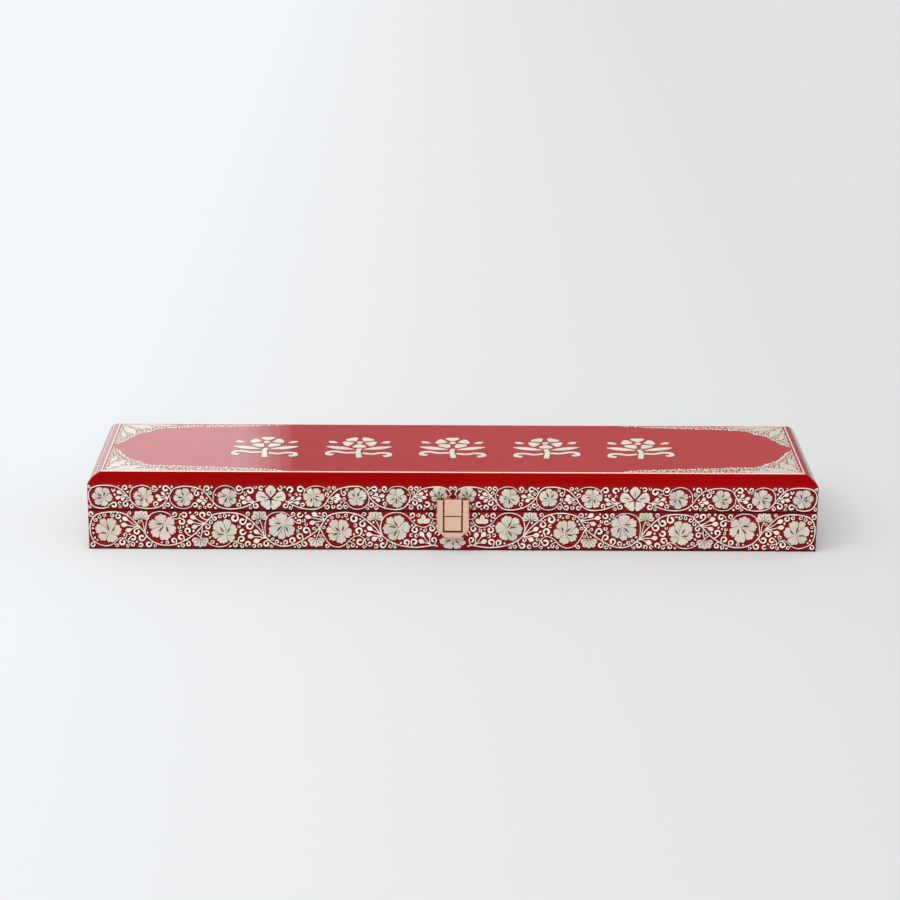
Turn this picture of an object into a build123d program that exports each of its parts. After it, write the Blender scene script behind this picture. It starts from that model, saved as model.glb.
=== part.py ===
from build123d import *
import math
import os

os.makedirs("parts", exist_ok=True)

# ---------------------------------------------------------------- driving dimensions (mm)
# The origin is the middle of the underside. X runs along the case, Y from the front to the
# back (the latch is on the -Y side), Z is up.
LENGTH = 520.0            # over the inlay on the two ends
DEPTH = 138.0             # over the inlay on the front and back, without latch and hinges
HEIGHT = 55.4             # closed
SKIN = 0.2                # thickness of the pearl inlay skin
BOARD = 9.0               # side boards and lid rails
SEAM = 29.15              # middle of the gap between base and lid
SEAM_GAP = 0.3
SIDE_TOP = 48.3           # top of the lid's upright sides, foot of the bevel
BEVEL = 8.6               # width of the crowned bevel seen from above
BEVEL_SAG = 1.3           # how far the bevel's crown stands off its chord
FLOOR_T = 4.0             # base floor panel
CARD = 1.0                # flocked lining cards

XO = LENGTH / 2 - SKIN    # outer faces of the boards, under the inlay
YO = DEPTH / 2 - SKIN
ZO = HEIGHT - SKIN
XI = XO - BOARD           # inner faces of the boards
YI = YO - BOARD
BASE_TOP = SEAM - SEAM_GAP / 2
LID_BOTTOM = SEAM + SEAM_GAP / 2

# latch
LATCH_W = 22.8
LATCH_Z0 = 10.5
LATCH_Z1 = 40.0
LATCH_Y = 5.0             # how far the latch stands out from the inlay
LATCH_CORNER = 6.0        # clipped lower corners
RECESS_W = 14.3
RECESS_Z0 = 14.9
BACKPLATE = 0.6
ARM_RELIEF = 0.3          # the arms clear the lid's face by this much
BUTTON_W = 12.1
BUTTON_Z0 = 16.05
BUTTON_Z1 = 26.95
BUTTON_T = 2.6
BUTTON_TRAVEL = 0.85
HASP_W = 12.4
HASP_Z0 = 27.15
TONGUE_W = 9.0
TONGUE_SLOT = 4.0
TONGUE_T = 0.7
TONGUE_Z0 = 19.5
PEG_W = 2.4
PEG_Z0 = 21.2
PEG_Z1 = 23.8
POCKET_W = 6.8
POCKET_Z0 = 12.9
POCKET_Z1 = 25.3
POCKET_DEPTH = 5.2        # into the front board
STUD_X = 9.3
STUD_R = 1.0
RIVET_X = 3.6
RIVET_Z = 34.0
RIVET_R = 0.9
SPRING_R = 1.8
WIRE_R = 0.25

# hinges
HINGE_X = 165.0
LEAF_W = 50.0
LEAF_T = 1.0
KNUCKLE_R = 2.2
PIN_R = 0.95
PIN_CLEAR = 0.05
AXIS_Y = DEPTH / 2 + 2.3
LID_KNUCKLE = 19.2        # middle barrel, on the lid's leaf
KNUCKLE_GAP = 0.3
LEAF_REACH = 13.5         # how far each leaf runs from its inner edge
LEAF_CLEAR = 2.55         # leaf edges keep this far above and below the pin
SCREW_R = 1.1
SCREW_HEAD_R = 2.0
SCREW_LEN = 7.0
SCREW_X = 17.0

# trays
TRAY_GAP = 16.0           # finger space between the two trays
TRAY_WALL = 3.0
TRAY_FLOOR = 2.0
TRAY_TOP = 27.0
TRAY_CLEAR = 0.5

FRONT = -DEPTH / 2        # y of the inlay's front face
BACK = DEPTH / 2


def save(block, label):
    block.part.label = label
    export_step(block.part, "parts/" + label + ".step")


# ---------------------------------------------------------------- base boards, mitred at the corners
with BuildPart() as base_front_board:
    with BuildSketch() as s:
        with BuildLine() as l:
            Polyline((-XO, -YO), (XO, -YO), (XI, -YI), (-XI, -YI), close=True)
        make_face()
    extrude(amount=BASE_TOP)
    # pocket behind the latch for the slider and its spring
    with BuildSketch(Plane.XZ.offset(YO)) as s:
        with Locations((0, (POCKET_Z0 + POCKET_Z1) / 2)):
            Rectangle(POCKET_W, POCKET_Z1 - POCKET_Z0)
    extrude(amount=-POCKET_DEPTH, mode=Mode.SUBTRACT)
    # two blind holes for the studs of the latch frame
    with BuildSketch(Plane.XZ.offset(YO)) as s:
        with Locations((-STUD_X, 18.0), (STUD_X, 18.0)):
            Circle(STUD_R)
    extrude(amount=-6.0, mode=Mode.SUBTRACT)
save(base_front_board, "base_front_board")

SCREW_BASE_Z = SEAM - LEAF_CLEAR - 8.0
SCREW_LID_Z = SEAM + LEAF_CLEAR + 8.0
BASE_SCREWS = [(s * HINGE_X + d, SCREW_BASE_Z) for s in (-1, 1) for d in (-SCREW_X, SCREW_X)]
LID_SCREWS = [(s * HINGE_X + d, SCREW_LID_Z) for s in (-1, 1) for d in (-SCREW_X, SCREW_X)]

with BuildPart() as base_back_board:
    with BuildSketch() as s:
        with BuildLine() as l:
            Polyline((-XO, YO), (XO, YO), (XI, YI), (-XI, YI), close=True)
        make_face()
    extrude(amount=BASE_TOP)
    with BuildSketch(Plane.XZ.offset(-YO)) as s:
        with Locations(*BASE_SCREWS):
            Circle(SCREW_R)
    extrude(amount=SCREW_LEN - LEAF_T - SKIN, mode=Mode.SUBTRACT)
save(base_back_board, "base_back_board")

with BuildPart() as base_left_board:
    with BuildSketch() as s:
        with BuildLine() as l:
            Polyline((-XO, -YO), (-XI, -YI), (-XI, YI), (-XO, YO), close=True)
        make_face()
    extrude(amount=BASE_TOP)
save(base_left_board, "base_left_board")

with BuildPart() as base_right_board:
    with BuildSketch() as s:
        with BuildLine() as l:
            Polyline((XO, -YO), (XI, -YI), (XI, YI), (XO, YO), close=True)
        make_face()
    extrude(amount=BASE_TOP)
save(base_right_board, "base_right_board")

with BuildPart() as base_floor_panel:
    with BuildSketch() as s:
        Rectangle(2 * XI, 2 * YI)
    extrude(amount=FLOOR_T)
save(base_floor_panel, "base_floor_panel")

with BuildPart() as base_floor_card:
    with BuildSketch(Plane.XY.offset(FLOOR_T)) as s:
        Rectangle(2 * XI - 0.4, 2 * YI - 0.4)
    extrude(amount=CARD)
save(base_floor_card, "base_floor_card")

# ---------------------------------------------------------------- lid: four mitred rails and a bevelled top
with BuildPart() as lid_front_rail:
    with BuildSketch(Plane.XY.offset(LID_BOTTOM)) as s:
        with BuildLine() as l:
            Polyline((-XO, -YO), (XO, -YO), (XI, -YI), (-XI, -YI), close=True)
        make_face()
    extrude(amount=SIDE_TOP - LID_BOTTOM)
    with BuildSketch(Plane.XZ.offset(YO)) as s:
        with Locations((-RIVET_X, RIVET_Z), (RIVET_X, RIVET_Z)):
            Circle(RIVET_R)
    extrude(amount=-BOARD, mode=Mode.SUBTRACT)
save(lid_front_rail, "lid_front_rail")

with BuildPart() as lid_back_rail:
    with BuildSketch(Plane.XY.offset(LID_BOTTOM)) as s:
        with BuildLine() as l:
            Polyline((-XO, YO), (XO, YO), (XI, YI), (-XI, YI), close=True)
        make_face()
    extrude(amount=SIDE_TOP - LID_BOTTOM)
    with BuildSketch(Plane.XZ.offset(-YO)) as s:
        with Locations(*LID_SCREWS):
            Circle(SCREW_R)
    extrude(amount=SCREW_LEN - LEAF_T - SKIN, mode=Mode.SUBTRACT)
save(lid_back_rail, "lid_back_rail")

with BuildPart() as lid_left_rail:
    with BuildSketch(Plane.XY.offset(LID_BOTTOM)) as s:
        with BuildLine() as l:
            Polyline((-XO, -YO), (-XI, -YI), (-XI, YI), (-XO, YO), close=True)
        make_face()
    extrude(amount=SIDE_TOP - LID_BOTTOM)
save(lid_left_rail, "lid_left_rail")

with BuildPart() as lid_right_rail:
    with BuildSketch(Plane.XY.offset(LID_BOTTOM)) as s:
        with BuildLine() as l:
            Polyline((XO, -YO), (XI, -YI), (XI, YI), (XO, YO), close=True)
        make_face()
    extrude(amount=SIDE_TOP - LID_BOTTOM)
save(lid_right_rail, "lid_right_rail")

# The top panel's edge is a shallow crowned bevel on all four sides, mitred at the corners:
# one outline run along X is intersected with the same outline run along Y.
with BuildPart() as lid_top_panel:
    with BuildSketch(Plane.YZ) as s:
        with BuildLine() as l:
            Polyline((-YO + BEVEL, ZO), (YO - BEVEL, ZO))
            SagittaArc((YO - BEVEL, ZO), (YO, SIDE_TOP), BEVEL_SAG)
            Polyline((YO, SIDE_TOP), (-YO, SIDE_TOP))
            SagittaArc((-YO, SIDE_TOP), (-YO + BEVEL, ZO), BEVEL_SAG)
        make_face()
    extrude(amount=XO, both=True)
    with BuildSketch(Plane.XZ) as s:
        with BuildLine() as l:
            Polyline((-XO + BEVEL, ZO), (XO - BEVEL, ZO))
            SagittaArc((XO - BEVEL, ZO), (XO, SIDE_TOP), BEVEL_SAG)
            Polyline((XO, SIDE_TOP), (-XO, SIDE_TOP))
            SagittaArc((-XO, SIDE_TOP), (-XO + BEVEL, ZO), BEVEL_SAG)
        make_face()
    extrude(amount=YO, both=True, mode=Mode.INTERSECT)
save(lid_top_panel, "lid_top_panel")

with BuildPart() as lid_lining_card:
    with BuildSketch(Plane.XY.offset(SIDE_TOP - CARD)) as s:
        Rectangle(2 * XI - 0.4, 2 * YI - 0.4)
    extrude(amount=CARD)
save(lid_lining_card, "lid_lining_card")

# ---------------------------------------------------------------- inlay skins on the upright faces
EDGE = 0.6                # red lacquer left at the edges of each band
BASE_BAND = (EDGE, BASE_TOP - EDGE)
LID_BAND = (LID_BOTTOM + EDGE, SIDE_TOP - EDGE)

with BuildPart() as base_front_inlay:
    with BuildSketch(Plane.XZ.offset(YO)) as s:
        with Locations((0, sum(BASE_BAND) / 2)):
            Rectangle(2 * XO - 2 * EDGE, BASE_BAND[1] - BASE_BAND[0])
        with Locations((0, (POCKET_Z0 + POCKET_Z1) / 2)):
            Rectangle(POCKET_W, POCKET_Z1 - POCKET_Z0, mode=Mode.SUBTRACT)
        with Locations((-STUD_X, 18.0), (STUD_X, 18.0)):
            Circle(STUD_R, mode=Mode.SUBTRACT)
    extrude(amount=SKIN)
save(base_front_inlay, "base_front_inlay")

with BuildPart() as base_back_inlay:
    with BuildSketch(Plane.XZ.offset(-BACK)) as s:
        with Locations((0, sum(BASE_BAND) / 2)):
            Rectangle(2 * XO - 2 * EDGE, BASE_BAND[1] - BASE_BAND[0])
        with Locations(*BASE_SCREWS):
            Circle(SCREW_R, mode=Mode.SUBTRACT)
    extrude(amount=SKIN)
save(base_back_inlay, "base_back_inlay")

with BuildPart() as base_left_inlay:
    with BuildSketch(Plane.YZ.offset(-LENGTH / 2)) as s:
        with Locations((0, sum(BASE_BAND) / 2)):
            Rectangle(2 * YO - 2 * EDGE, BASE_BAND[1] - BASE_BAND[0])
    extrude(amount=SKIN)
save(base_left_inlay, "base_left_inlay")

with BuildPart() as base_right_inlay:
    with BuildSketch(Plane.YZ.offset(XO)) as s:
        with Locations((0, sum(BASE_BAND) / 2)):
            Rectangle(2 * YO - 2 * EDGE, BASE_BAND[1] - BASE_BAND[0])
    extrude(amount=SKIN)
save(base_right_inlay, "base_right_inlay")

with BuildPart() as lid_front_inlay:
    with BuildSketch(Plane.XZ.offset(YO)) as s:
        with Locations((0, sum(LID_BAND) / 2)):
            Rectangle(2 * XO - 2 * EDGE, LID_BAND[1] - LID_BAND[0])
        with Locations((-RIVET_X, RIVET_Z), (RIVET_X, RIVET_Z)):
            Circle(RIVET_R, mode=Mode.SUBTRACT)
    extrude(amount=SKIN)
save(lid_front_inlay, "lid_front_inlay")

with BuildPart() as lid_back_inlay:
    with BuildSketch(Plane.XZ.offset(-BACK)) as s:
        with Locations((0, sum(LID_BAND) / 2)):
            Rectangle(2 * XO - 2 * EDGE, LID_BAND[1] - LID_BAND[0])
        with Locations(*LID_SCREWS):
            Circle(SCREW_R, mode=Mode.SUBTRACT)
    extrude(amount=SKIN)
save(lid_back_inlay, "lid_back_inlay")

with BuildPart() as lid_left_inlay:
    with BuildSketch(Plane.YZ.offset(-LENGTH / 2)) as s:
        with Locations((0, sum(LID_BAND) / 2)):
            Rectangle(2 * YO - 2 * EDGE, LID_BAND[1] - LID_BAND[0])
    extrude(amount=SKIN)
save(lid_left_inlay, "lid_left_inlay")

with BuildPart() as lid_right_inlay:
    with BuildSketch(Plane.YZ.offset(XO)) as s:
        with Locations((0, sum(LID_BAND) / 2)):
            Rectangle(2 * YO - 2 * EDGE, LID_BAND[1] - LID_BAND[0])
    extrude(amount=SKIN)
save(lid_right_inlay, "lid_right_inlay")

# ---------------------------------------------------------------- inlay on the top
FX = XO - BEVEL           # half size of the flat top
FY = YO - BEVEL
LINE_W = 0.9              # the pearl line round the flat top

with BuildPart() as lid_top_border:
    with BuildSketch(Plane.XY.offset(ZO)) as s:
        Rectangle(2 * FX - 0.4, 2 * FY - 0.4)
        Rectangle(2 * FX - 0.4 - 2 * LINE_W, 2 * FY - 0.4 - 2 * LINE_W, mode=Mode.SUBTRACT)
    extrude(amount=SKIN)
save(lid_top_border, "lid_top_border")

# Four corner fields. Each runs from a cusp near the middle of the end, in scallops round the
# corner, to a strip that thins out along the long edge.
BACK_FIELD = [(249.2, 4.5), (246.0, 9.0), (240.0, 21.5), (234.5, 32.5), (227.0, 39.0), (220.0, 47.0),
              (205.0, 50.5), (180.0, 52.5), (150.0, 55.0), (125.0, 58.2), (249.2, 58.2)]
FRONT_FIELD = [(249.2, 1.5), (245.5, -7.0), (238.5, -22.0), (233.0, -31.0), (226.0, -38.0), (220.5, -44.5),
               (200.0, -47.0), (165.0, -50.5), (132.0, -54.5), (117.0, -58.2), (249.2, -58.2)]
with BuildPart() as lid_corner_inlay:
    for sx in (-1, 1):
        for field in (BACK_FIELD, FRONT_FIELD):
            with BuildSketch(Plane.XY.offset(ZO)) as s:
                with BuildLine() as l:
                    Polyline(*[(sx * px, py) for px, py in field], close=True)
                make_face()
            extrude(amount=SKIN)
save(lid_corner_inlay, "lid_corner_inlay")

MOTIF_PITCH = 68.5
with BuildPart() as lid_top_motifs:
    with BuildSketch(Plane.XY.offset(ZO)) as s:
        with Locations(*[(i * MOTIF_PITCH, 1.0) for i in (-2, -1, 0, 1, 2)]):
            Circle(24.0)
    extrude(amount=SKIN)
save(lid_top_motifs, "lid_top_motifs")

# ---------------------------------------------------------------- latch frame on the base
LX = LATCH_W / 2
with BuildPart() as latch_housing:
    with BuildSketch(Plane.XZ.offset(DEPTH / 2)) as s:
        with BuildLine() as l:
            Polyline((-LX, LATCH_Z1), (-LX, LATCH_Z0 + LATCH_CORNER), (-LX + LATCH_CORNER, LATCH_Z0),
                     (LX - LATCH_CORNER, LATCH_Z0), (LX, LATCH_Z0 + LATCH_CORNER), (LX, LATCH_Z1), close=True)
        make_face()
    extrude(amount=LATCH_Y)
    # bevelled outer edges of the front face
    chamfer(latch_housing.faces().sort_by(Axis.Y)[0].edges(), length=0.8)
    # the recess, open at the top, leaves a thin backplate
    with BuildSketch(Plane.XZ.offset(DEPTH / 2 + BACKPLATE)) as s:
        with Locations((0, (RECESS_Z0 + LATCH_Z1 + 5) / 2)):
            Rectangle(RECESS_W, LATCH_Z1 + 5 - RECESS_Z0)
    extrude(amount=LATCH_Y, mode=Mode.SUBTRACT)
    # above the seam there is no backplate, and the arms stand clear of the lid's face
    with BuildSketch(Plane.XZ.offset(DEPTH / 2)) as s:
        with Locations((0, (BASE_TOP + LATCH_Z1 + 5) / 2)):
            Rectangle(RECESS_W, LATCH_Z1 + 5 - BASE_TOP)
    extrude(amount=BACKPLATE, mode=Mode.SUBTRACT)
    with BuildSketch(Plane.XZ.offset(DEPTH / 2)) as s:
        with Locations((0, (BASE_TOP + LATCH_Z1 + 5) / 2)):
            Rectangle(LATCH_W + 2, LATCH_Z1 + 5 - BASE_TOP)
    extrude(amount=ARM_RELIEF, mode=Mode.SUBTRACT)
    # upright slot for the button's peg
    with BuildSketch(Plane.XZ.offset(DEPTH / 2)) as s:
        with Locations((0, (PEG_Z0 - BUTTON_TRAVEL - 0.35 + PEG_Z1 + 0.3) / 2)):
            Rectangle(PEG_W + 0.2, PEG_Z1 + 0.3 - (PEG_Z0 - BUTTON_TRAVEL - 0.35))
    extrude(amount=BACKPLATE, mode=Mode.SUBTRACT)
    # two studs into the front board
    with BuildSketch(Plane.XZ.offset(DEPTH / 2)) as s:
        with Locations((-STUD_X, 18.0), (STUD_X, 18.0)):
            Circle(STUD_R)
    extrude(amount=-5.5)
save(latch_housing, "latch_housing")

# ---------------------------------------------------------------- sliding button with its peg and slider
BUTTON_BACK = DEPTH / 2 + LATCH_Y - BUTTON_T
with BuildPart() as latch_button:
    with BuildSketch(Plane.XZ.offset(BUTTON_BACK)) as s:
        with Locations((0, (BUTTON_Z0 + BUTTON_Z1) / 2)):
            Rectangle(BUTTON_W, BUTTON_Z1 - BUTTON_Z0)
    extrude(amount=BUTTON_T)
    chamfer(latch_button.faces().sort_by(Axis.Y)[0].edges(), length=0.3)
    with BuildSketch(Plane.XZ.offset(BUTTON_BACK)) as s:
        with Locations((0, (PEG_Z0 + PEG_Z1) / 2)):
            Rectangle(PEG_W, PEG_Z1 - PEG_Z0)
    extrude(amount=-(BUTTON_BACK - DEPTH / 2 + 0.5))
save(latch_button, "latch_button")

SLIDER_FRONT = DEPTH / 2 - 0.5
with BuildPart() as latch_slider:
    with BuildSketch(Plane.XZ.offset(SLIDER_FRONT)) as s:
        with Locations((0, (PEG_Z0 + PEG_Z1) / 2)):
            Rectangle(POCKET_W - 1.4, PEG_Z1 - PEG_Z0 + 0.4)
    extrude(amount=-4.2)
    chamfer(latch_slider.edges().filter_by(Axis.Y), length=0.3)
save(latch_slider, "latch_slider")

SPRING_Y = -(SLIDER_FRONT - 2.1)
SPRING_Z0 = POCKET_Z0 + WIRE_R + 0.02
SPRING_Z1 = PEG_Z0 - 0.2 - WIRE_R - 0.02
SPRING_TURNS = 6
with BuildPart() as latch_spring:
    with BuildLine(Plane.XY) as l:
        Helix(pitch=(SPRING_Z1 - SPRING_Z0) / SPRING_TURNS, height=SPRING_Z1 - SPRING_Z0, radius=SPRING_R,
              center=(0, SPRING_Y, SPRING_Z0))
    with BuildSketch(Plane(l.line @ 0, z_dir=l.line % 0)) as s:
        Circle(WIRE_R)
    sweep(path=l.line, is_frenet=True)
save(latch_spring, "latch_spring")

# ---------------------------------------------------------------- hasp on the lid
with BuildPart() as latch_hasp:
    with BuildSketch(Plane.XZ.offset(DEPTH / 2 + 1.0)) as s:
        with Locations((0, (HASP_Z0 + LATCH_Z1) / 2)):
            Rectangle(HASP_W, LATCH_Z1 - HASP_Z0)
    extrude(amount=LATCH_Y - 1.0)
    chamfer(latch_hasp.faces().sort_by(Axis.Y)[0].edges(), length=0.3)
    with BuildSketch(Plane.XZ.offset(DEPTH / 2)) as s:
        with Locations((0, (LID_BOTTOM + 0.3 + LATCH_Z1) / 2)):
            Rectangle(HASP_W, LATCH_Z1 - LID_BOTTOM - 0.3)
    extrude(amount=1.0)
    # forked tongue that reaches down behind the button, either side of its peg
    with BuildSketch(Plane.XZ.offset(DEPTH / 2 + 1.0)) as s:
        with Locations((0, (TONGUE_Z0 + HASP_Z0 + 1) / 2)):
            Rectangle(TONGUE_W, HASP_Z0 + 1 - TONGUE_Z0)
        with Locations((0, (TONGUE_Z0 + 25.2) / 2 - 0.5)):
            Rectangle(TONGUE_SLOT, 25.2 - TONGUE_Z0 + 1.0, mode=Mode.SUBTRACT)
    extrude(amount=TONGUE_T)
    # blind holes for the rivets
    with BuildSketch(Plane.XZ.offset(DEPTH / 2)) as s:
        with Locations((-RIVET_X, RIVET_Z), (RIVET_X, RIVET_Z)):
            Circle(RIVET_R)
    extrude(amount=3.0, mode=Mode.SUBTRACT)
save(latch_hasp, "latch_hasp")

# two rivets from inside the lid, round heads on the inner face of the front rail
with BuildPart() as hasp_rivets:
    with BuildSketch(Plane.XZ.offset(YI)) as s:
        with Locations((-RIVET_X, RIVET_Z), (RIVET_X, RIVET_Z)):
            Circle(RIVET_R)
    extrude(amount=BOARD + SKIN + 3.0)
    with BuildSketch(Plane.XZ.offset(YI)) as s:
        with Locations((-RIVET_X, RIVET_Z), (RIVET_X, RIVET_Z)):
            Circle(1.9)
    extrude(amount=-0.7)
    chamfer(hasp_rivets.faces().filter_by(Axis.Y).sort_by(Axis.Y)[-2:].edges(), length=0.35)
save(hasp_rivets, "hasp_rivets")

# ---------------------------------------------------------------- hinges
# Each hinge has a base leaf with two outer barrels, a lid leaf with the middle barrel and a
# stop lug, and a pin through all three. Each end of a barrel stands clear of the next.
OUTER_X = LID_KNUCKLE / 2 + KNUCKLE_GAP
OUTER_L = LEAF_W / 2 - OUTER_X


def base_leaf(side):
    cx = side * HINGE_X
    with BuildPart() as leaf:
        with BuildSketch(Plane.XZ.offset(-BACK)) as s:
            with Locations((cx, SEAM - LEAF_CLEAR - LEAF_REACH / 2)):
                RectangleRounded(LEAF_W, LEAF_REACH, 1.5)
            for d in (-1, 1):
                with Locations((cx + d * (OUTER_X + OUTER_L / 2), SEAM - (LEAF_CLEAR + 2) / 2)):
                    Rectangle(OUTER_L, LEAF_CLEAR + 2)
        extrude(amount=-LEAF_T)
        for d in (-1, 1):
            start = cx + d * (OUTER_X + OUTER_L / 2) - OUTER_L / 2
            with BuildSketch(Plane.YZ.offset(start)) as s:
                with Locations((AXIS_Y, SEAM)):
                    Circle(KNUCKLE_R)
            extrude(amount=OUTER_L)
            with BuildSketch(Plane.YZ.offset(start)) as s:
                with Locations((AXIS_Y, SEAM)):
                    Circle(PIN_R)
            extrude(amount=OUTER_L, mode=Mode.SUBTRACT)
        for d in (-SCREW_X, SCREW_X):
            with BuildSketch(Plane.XZ.offset(-BACK)) as s:
                with Locations((cx + d, SCREW_BASE_Z)):
                    Circle(SCREW_R)
            extrude(amount=-LEAF_T, mode=Mode.SUBTRACT)
            with BuildSketch(Plane.XZ.offset(-(BACK + LEAF_T))) as s:
                with Locations((cx + d, SCREW_BASE_Z)):
                    Circle(SCREW_HEAD_R)
            extrude(amount=SCREW_HEAD_R - SCREW_R, taper=45, mode=Mode.SUBTRACT)
    return leaf


def lid_leaf(side):
    cx = side * HINGE_X
    with BuildPart() as leaf:
        with BuildSketch(Plane.XZ.offset(-BACK)) as s:
            with Locations((cx, SEAM + LEAF_CLEAR + LEAF_REACH / 2)):
                RectangleRounded(LEAF_W, LEAF_REACH, 1.5)
            with Locations((cx, SEAM + (LEAF_CLEAR + 2) / 2)):
                Rectangle(LID_KNUCKLE, LEAF_CLEAR + 2)
        extrude(amount=-LEAF_T)
        with BuildSketch(Plane.YZ.offset(cx - LID_KNUCKLE / 2)) as s:
            with Locations((AXIS_Y, SEAM)):
                Circle(KNUCKLE_R)
        extrude(amount=LID_KNUCKLE)
        # stop lug: it comes down behind the base leaf when the lid is fully open
        with BuildSketch(Plane.YZ.offset(cx - 4.0)) as s:
            with Locations((AXIS_Y + 3.1, SEAM + 0.2)):
                Rectangle(3.0, 1.5, rotation=4)
        extrude(amount=8.0)
        with BuildSketch(Plane.YZ.offset(cx - LID_KNUCKLE / 2)) as s:
            with Locations((AXIS_Y, SEAM)):
                Circle(PIN_R + PIN_CLEAR)
        extrude(amount=LID_KNUCKLE, mode=Mode.SUBTRACT)
        for d in (-SCREW_X, SCREW_X):
            with BuildSketch(Plane.XZ.offset(-BACK)) as s:
                with Locations((cx + d, SCREW_LID_Z)):
                    Circle(SCREW_R)
            extrude(amount=-LEAF_T, mode=Mode.SUBTRACT)
            with BuildSketch(Plane.XZ.offset(-(BACK + LEAF_T))) as s:
                with Locations((cx + d, SCREW_LID_Z)):
                    Circle(SCREW_HEAD_R)
            extrude(amount=SCREW_HEAD_R - SCREW_R, taper=45, mode=Mode.SUBTRACT)
    return leaf


base_hinge_leaf_left = base_leaf(-1)
save(base_hinge_leaf_left, "base_hinge_leaf_left")
base_hinge_leaf_right = base_leaf(1)
save(base_hinge_leaf_right, "base_hinge_leaf_right")
lid_hinge_leaf_left = lid_leaf(-1)
save(lid_hinge_leaf_left, "lid_hinge_leaf_left")
lid_hinge_leaf_right = lid_leaf(1)
save(lid_hinge_leaf_right, "lid_hinge_leaf_right")

with BuildPart() as hinge_pins:
    for side in (-1, 1):
        with BuildSketch(Plane.YZ.offset(side * HINGE_X - LEAF_W / 2)) as s:
            with Locations((AXIS_Y, SEAM)):
                Circle(PIN_R)
        extrude(amount=LEAF_W)
        for d in (-1, 1):
            with BuildSketch(Plane.YZ.offset(side * HINGE_X + d * LEAF_W / 2)) as s:
                with Locations((AXIS_Y, SEAM)):
                    Circle(PIN_R + 0.5)
            extrude(amount=d * 0.5)
save(hinge_pins, "hinge_pins")


def screws(places):
    with BuildPart() as group:
        for px, pz in places:
            with BuildSketch(Plane.XZ.offset(-(BACK + LEAF_T))) as s:
                with Locations((px, pz)):
                    Circle(SCREW_HEAD_R)
            extrude(amount=SCREW_HEAD_R - SCREW_R, taper=45)
            with BuildSketch(Plane.XZ.offset(-(BACK + LEAF_T))) as s:
                with Locations((px, pz)):
                    Circle(SCREW_R)
            extrude(amount=SCREW_LEN)
            # cross recess
            with BuildSketch(Plane.XZ.offset(-(BACK + LEAF_T))) as s:
                with Locations((px, pz)):
                    Rectangle(2.2, 0.5)
                    Rectangle(0.5, 2.2)
            extrude(amount=0.7, mode=Mode.SUBTRACT)
    return group


base_hinge_screws = screws(BASE_SCREWS)
save(base_hinge_screws, "base_hinge_screws")
lid_hinge_screws = screws(LID_SCREWS)
save(lid_hinge_screws, "lid_hinge_screws")

# ---------------------------------------------------------------- two lift-out trays in the base
TRAY_Z0 = FLOOR_T + CARD
TX0 = TRAY_GAP / 2
TX1 = XI - TRAY_CLEAR
TY = YI - TRAY_CLEAR
TRAY_CX = (TX0 + TX1) / 2
TRAY_L = TX1 - TX0
for side, name in ((-1, "left"), (1, "right")):
    with BuildPart() as tray_frame:
        with BuildSketch(Plane.XY.offset(TRAY_Z0)) as s:
            with Locations((side * TRAY_CX, 0)):
                Rectangle(TRAY_L, 2 * TY)
                Rectangle(TRAY_L - 2 * TRAY_WALL, 2 * TY - 2 * TRAY_WALL, mode=Mode.SUBTRACT)
        extrude(amount=TRAY_TOP - TRAY_Z0)
        fillet(tray_frame.faces().sort_by(Axis.Z)[-1].edges(), radius=0.6)
    save(tray_frame, "tray_" + name + "_frame")

    with BuildPart() as tray_floor:
        with BuildSketch(Plane.XY.offset(TRAY_Z0)) as s:
            with Locations((side * TRAY_CX, 0)):
                Rectangle(TRAY_L - 2 * TRAY_WALL, 2 * TY - 2 * TRAY_WALL)
        extrude(amount=TRAY_FLOOR)
    save(tray_floor, "tray_" + name + "_floor")

    with BuildPart() as tray_divider:
        with BuildSketch(Plane.XY.offset(TRAY_Z0 + TRAY_FLOOR)) as s:
            with Locations((side * TRAY_CX, 0)):
                Rectangle(2.4, 2 * TY - 2 * TRAY_WALL)
        extrude(amount=TRAY_TOP - 2.0 - TRAY_Z0 - TRAY_FLOOR)
    save(tray_divider, "tray_" + name + "_divider")

    with BuildPart() as tray_card:
        with BuildSketch(Plane.XY.offset(TRAY_Z0 + TRAY_FLOOR)) as s:
            half = (TRAY_L - 2 * TRAY_WALL - 2.4) / 2
            for d in (-1, 1):
                with Locations((side * TRAY_CX + d * (1.2 + half / 2), 0)):
                    Rectangle(half - 0.2, 2 * TY - 2 * TRAY_WALL - 0.2)
        extrude(amount=0.8)
    save(tray_card, "tray_" + name + "_cards")
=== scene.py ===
import math

import bmesh
import bpy
import numpy as np
from mathutils import Matrix, Vector

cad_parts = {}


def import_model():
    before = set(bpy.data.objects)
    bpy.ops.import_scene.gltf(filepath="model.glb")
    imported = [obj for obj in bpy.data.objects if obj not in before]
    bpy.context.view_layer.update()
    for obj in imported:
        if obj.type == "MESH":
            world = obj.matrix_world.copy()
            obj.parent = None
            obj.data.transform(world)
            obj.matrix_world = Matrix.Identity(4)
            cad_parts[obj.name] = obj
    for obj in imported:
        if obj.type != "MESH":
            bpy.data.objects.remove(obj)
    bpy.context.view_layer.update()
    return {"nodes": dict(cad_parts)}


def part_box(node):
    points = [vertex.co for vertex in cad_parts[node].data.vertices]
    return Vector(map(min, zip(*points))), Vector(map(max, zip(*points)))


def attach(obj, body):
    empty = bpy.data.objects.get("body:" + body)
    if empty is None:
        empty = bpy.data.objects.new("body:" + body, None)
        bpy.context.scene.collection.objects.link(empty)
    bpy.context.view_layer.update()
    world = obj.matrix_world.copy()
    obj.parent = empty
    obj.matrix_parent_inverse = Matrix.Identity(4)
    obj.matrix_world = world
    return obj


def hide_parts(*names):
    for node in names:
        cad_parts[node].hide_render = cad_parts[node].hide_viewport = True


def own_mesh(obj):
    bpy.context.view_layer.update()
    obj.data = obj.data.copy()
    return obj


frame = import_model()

MM = 0.001

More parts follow.
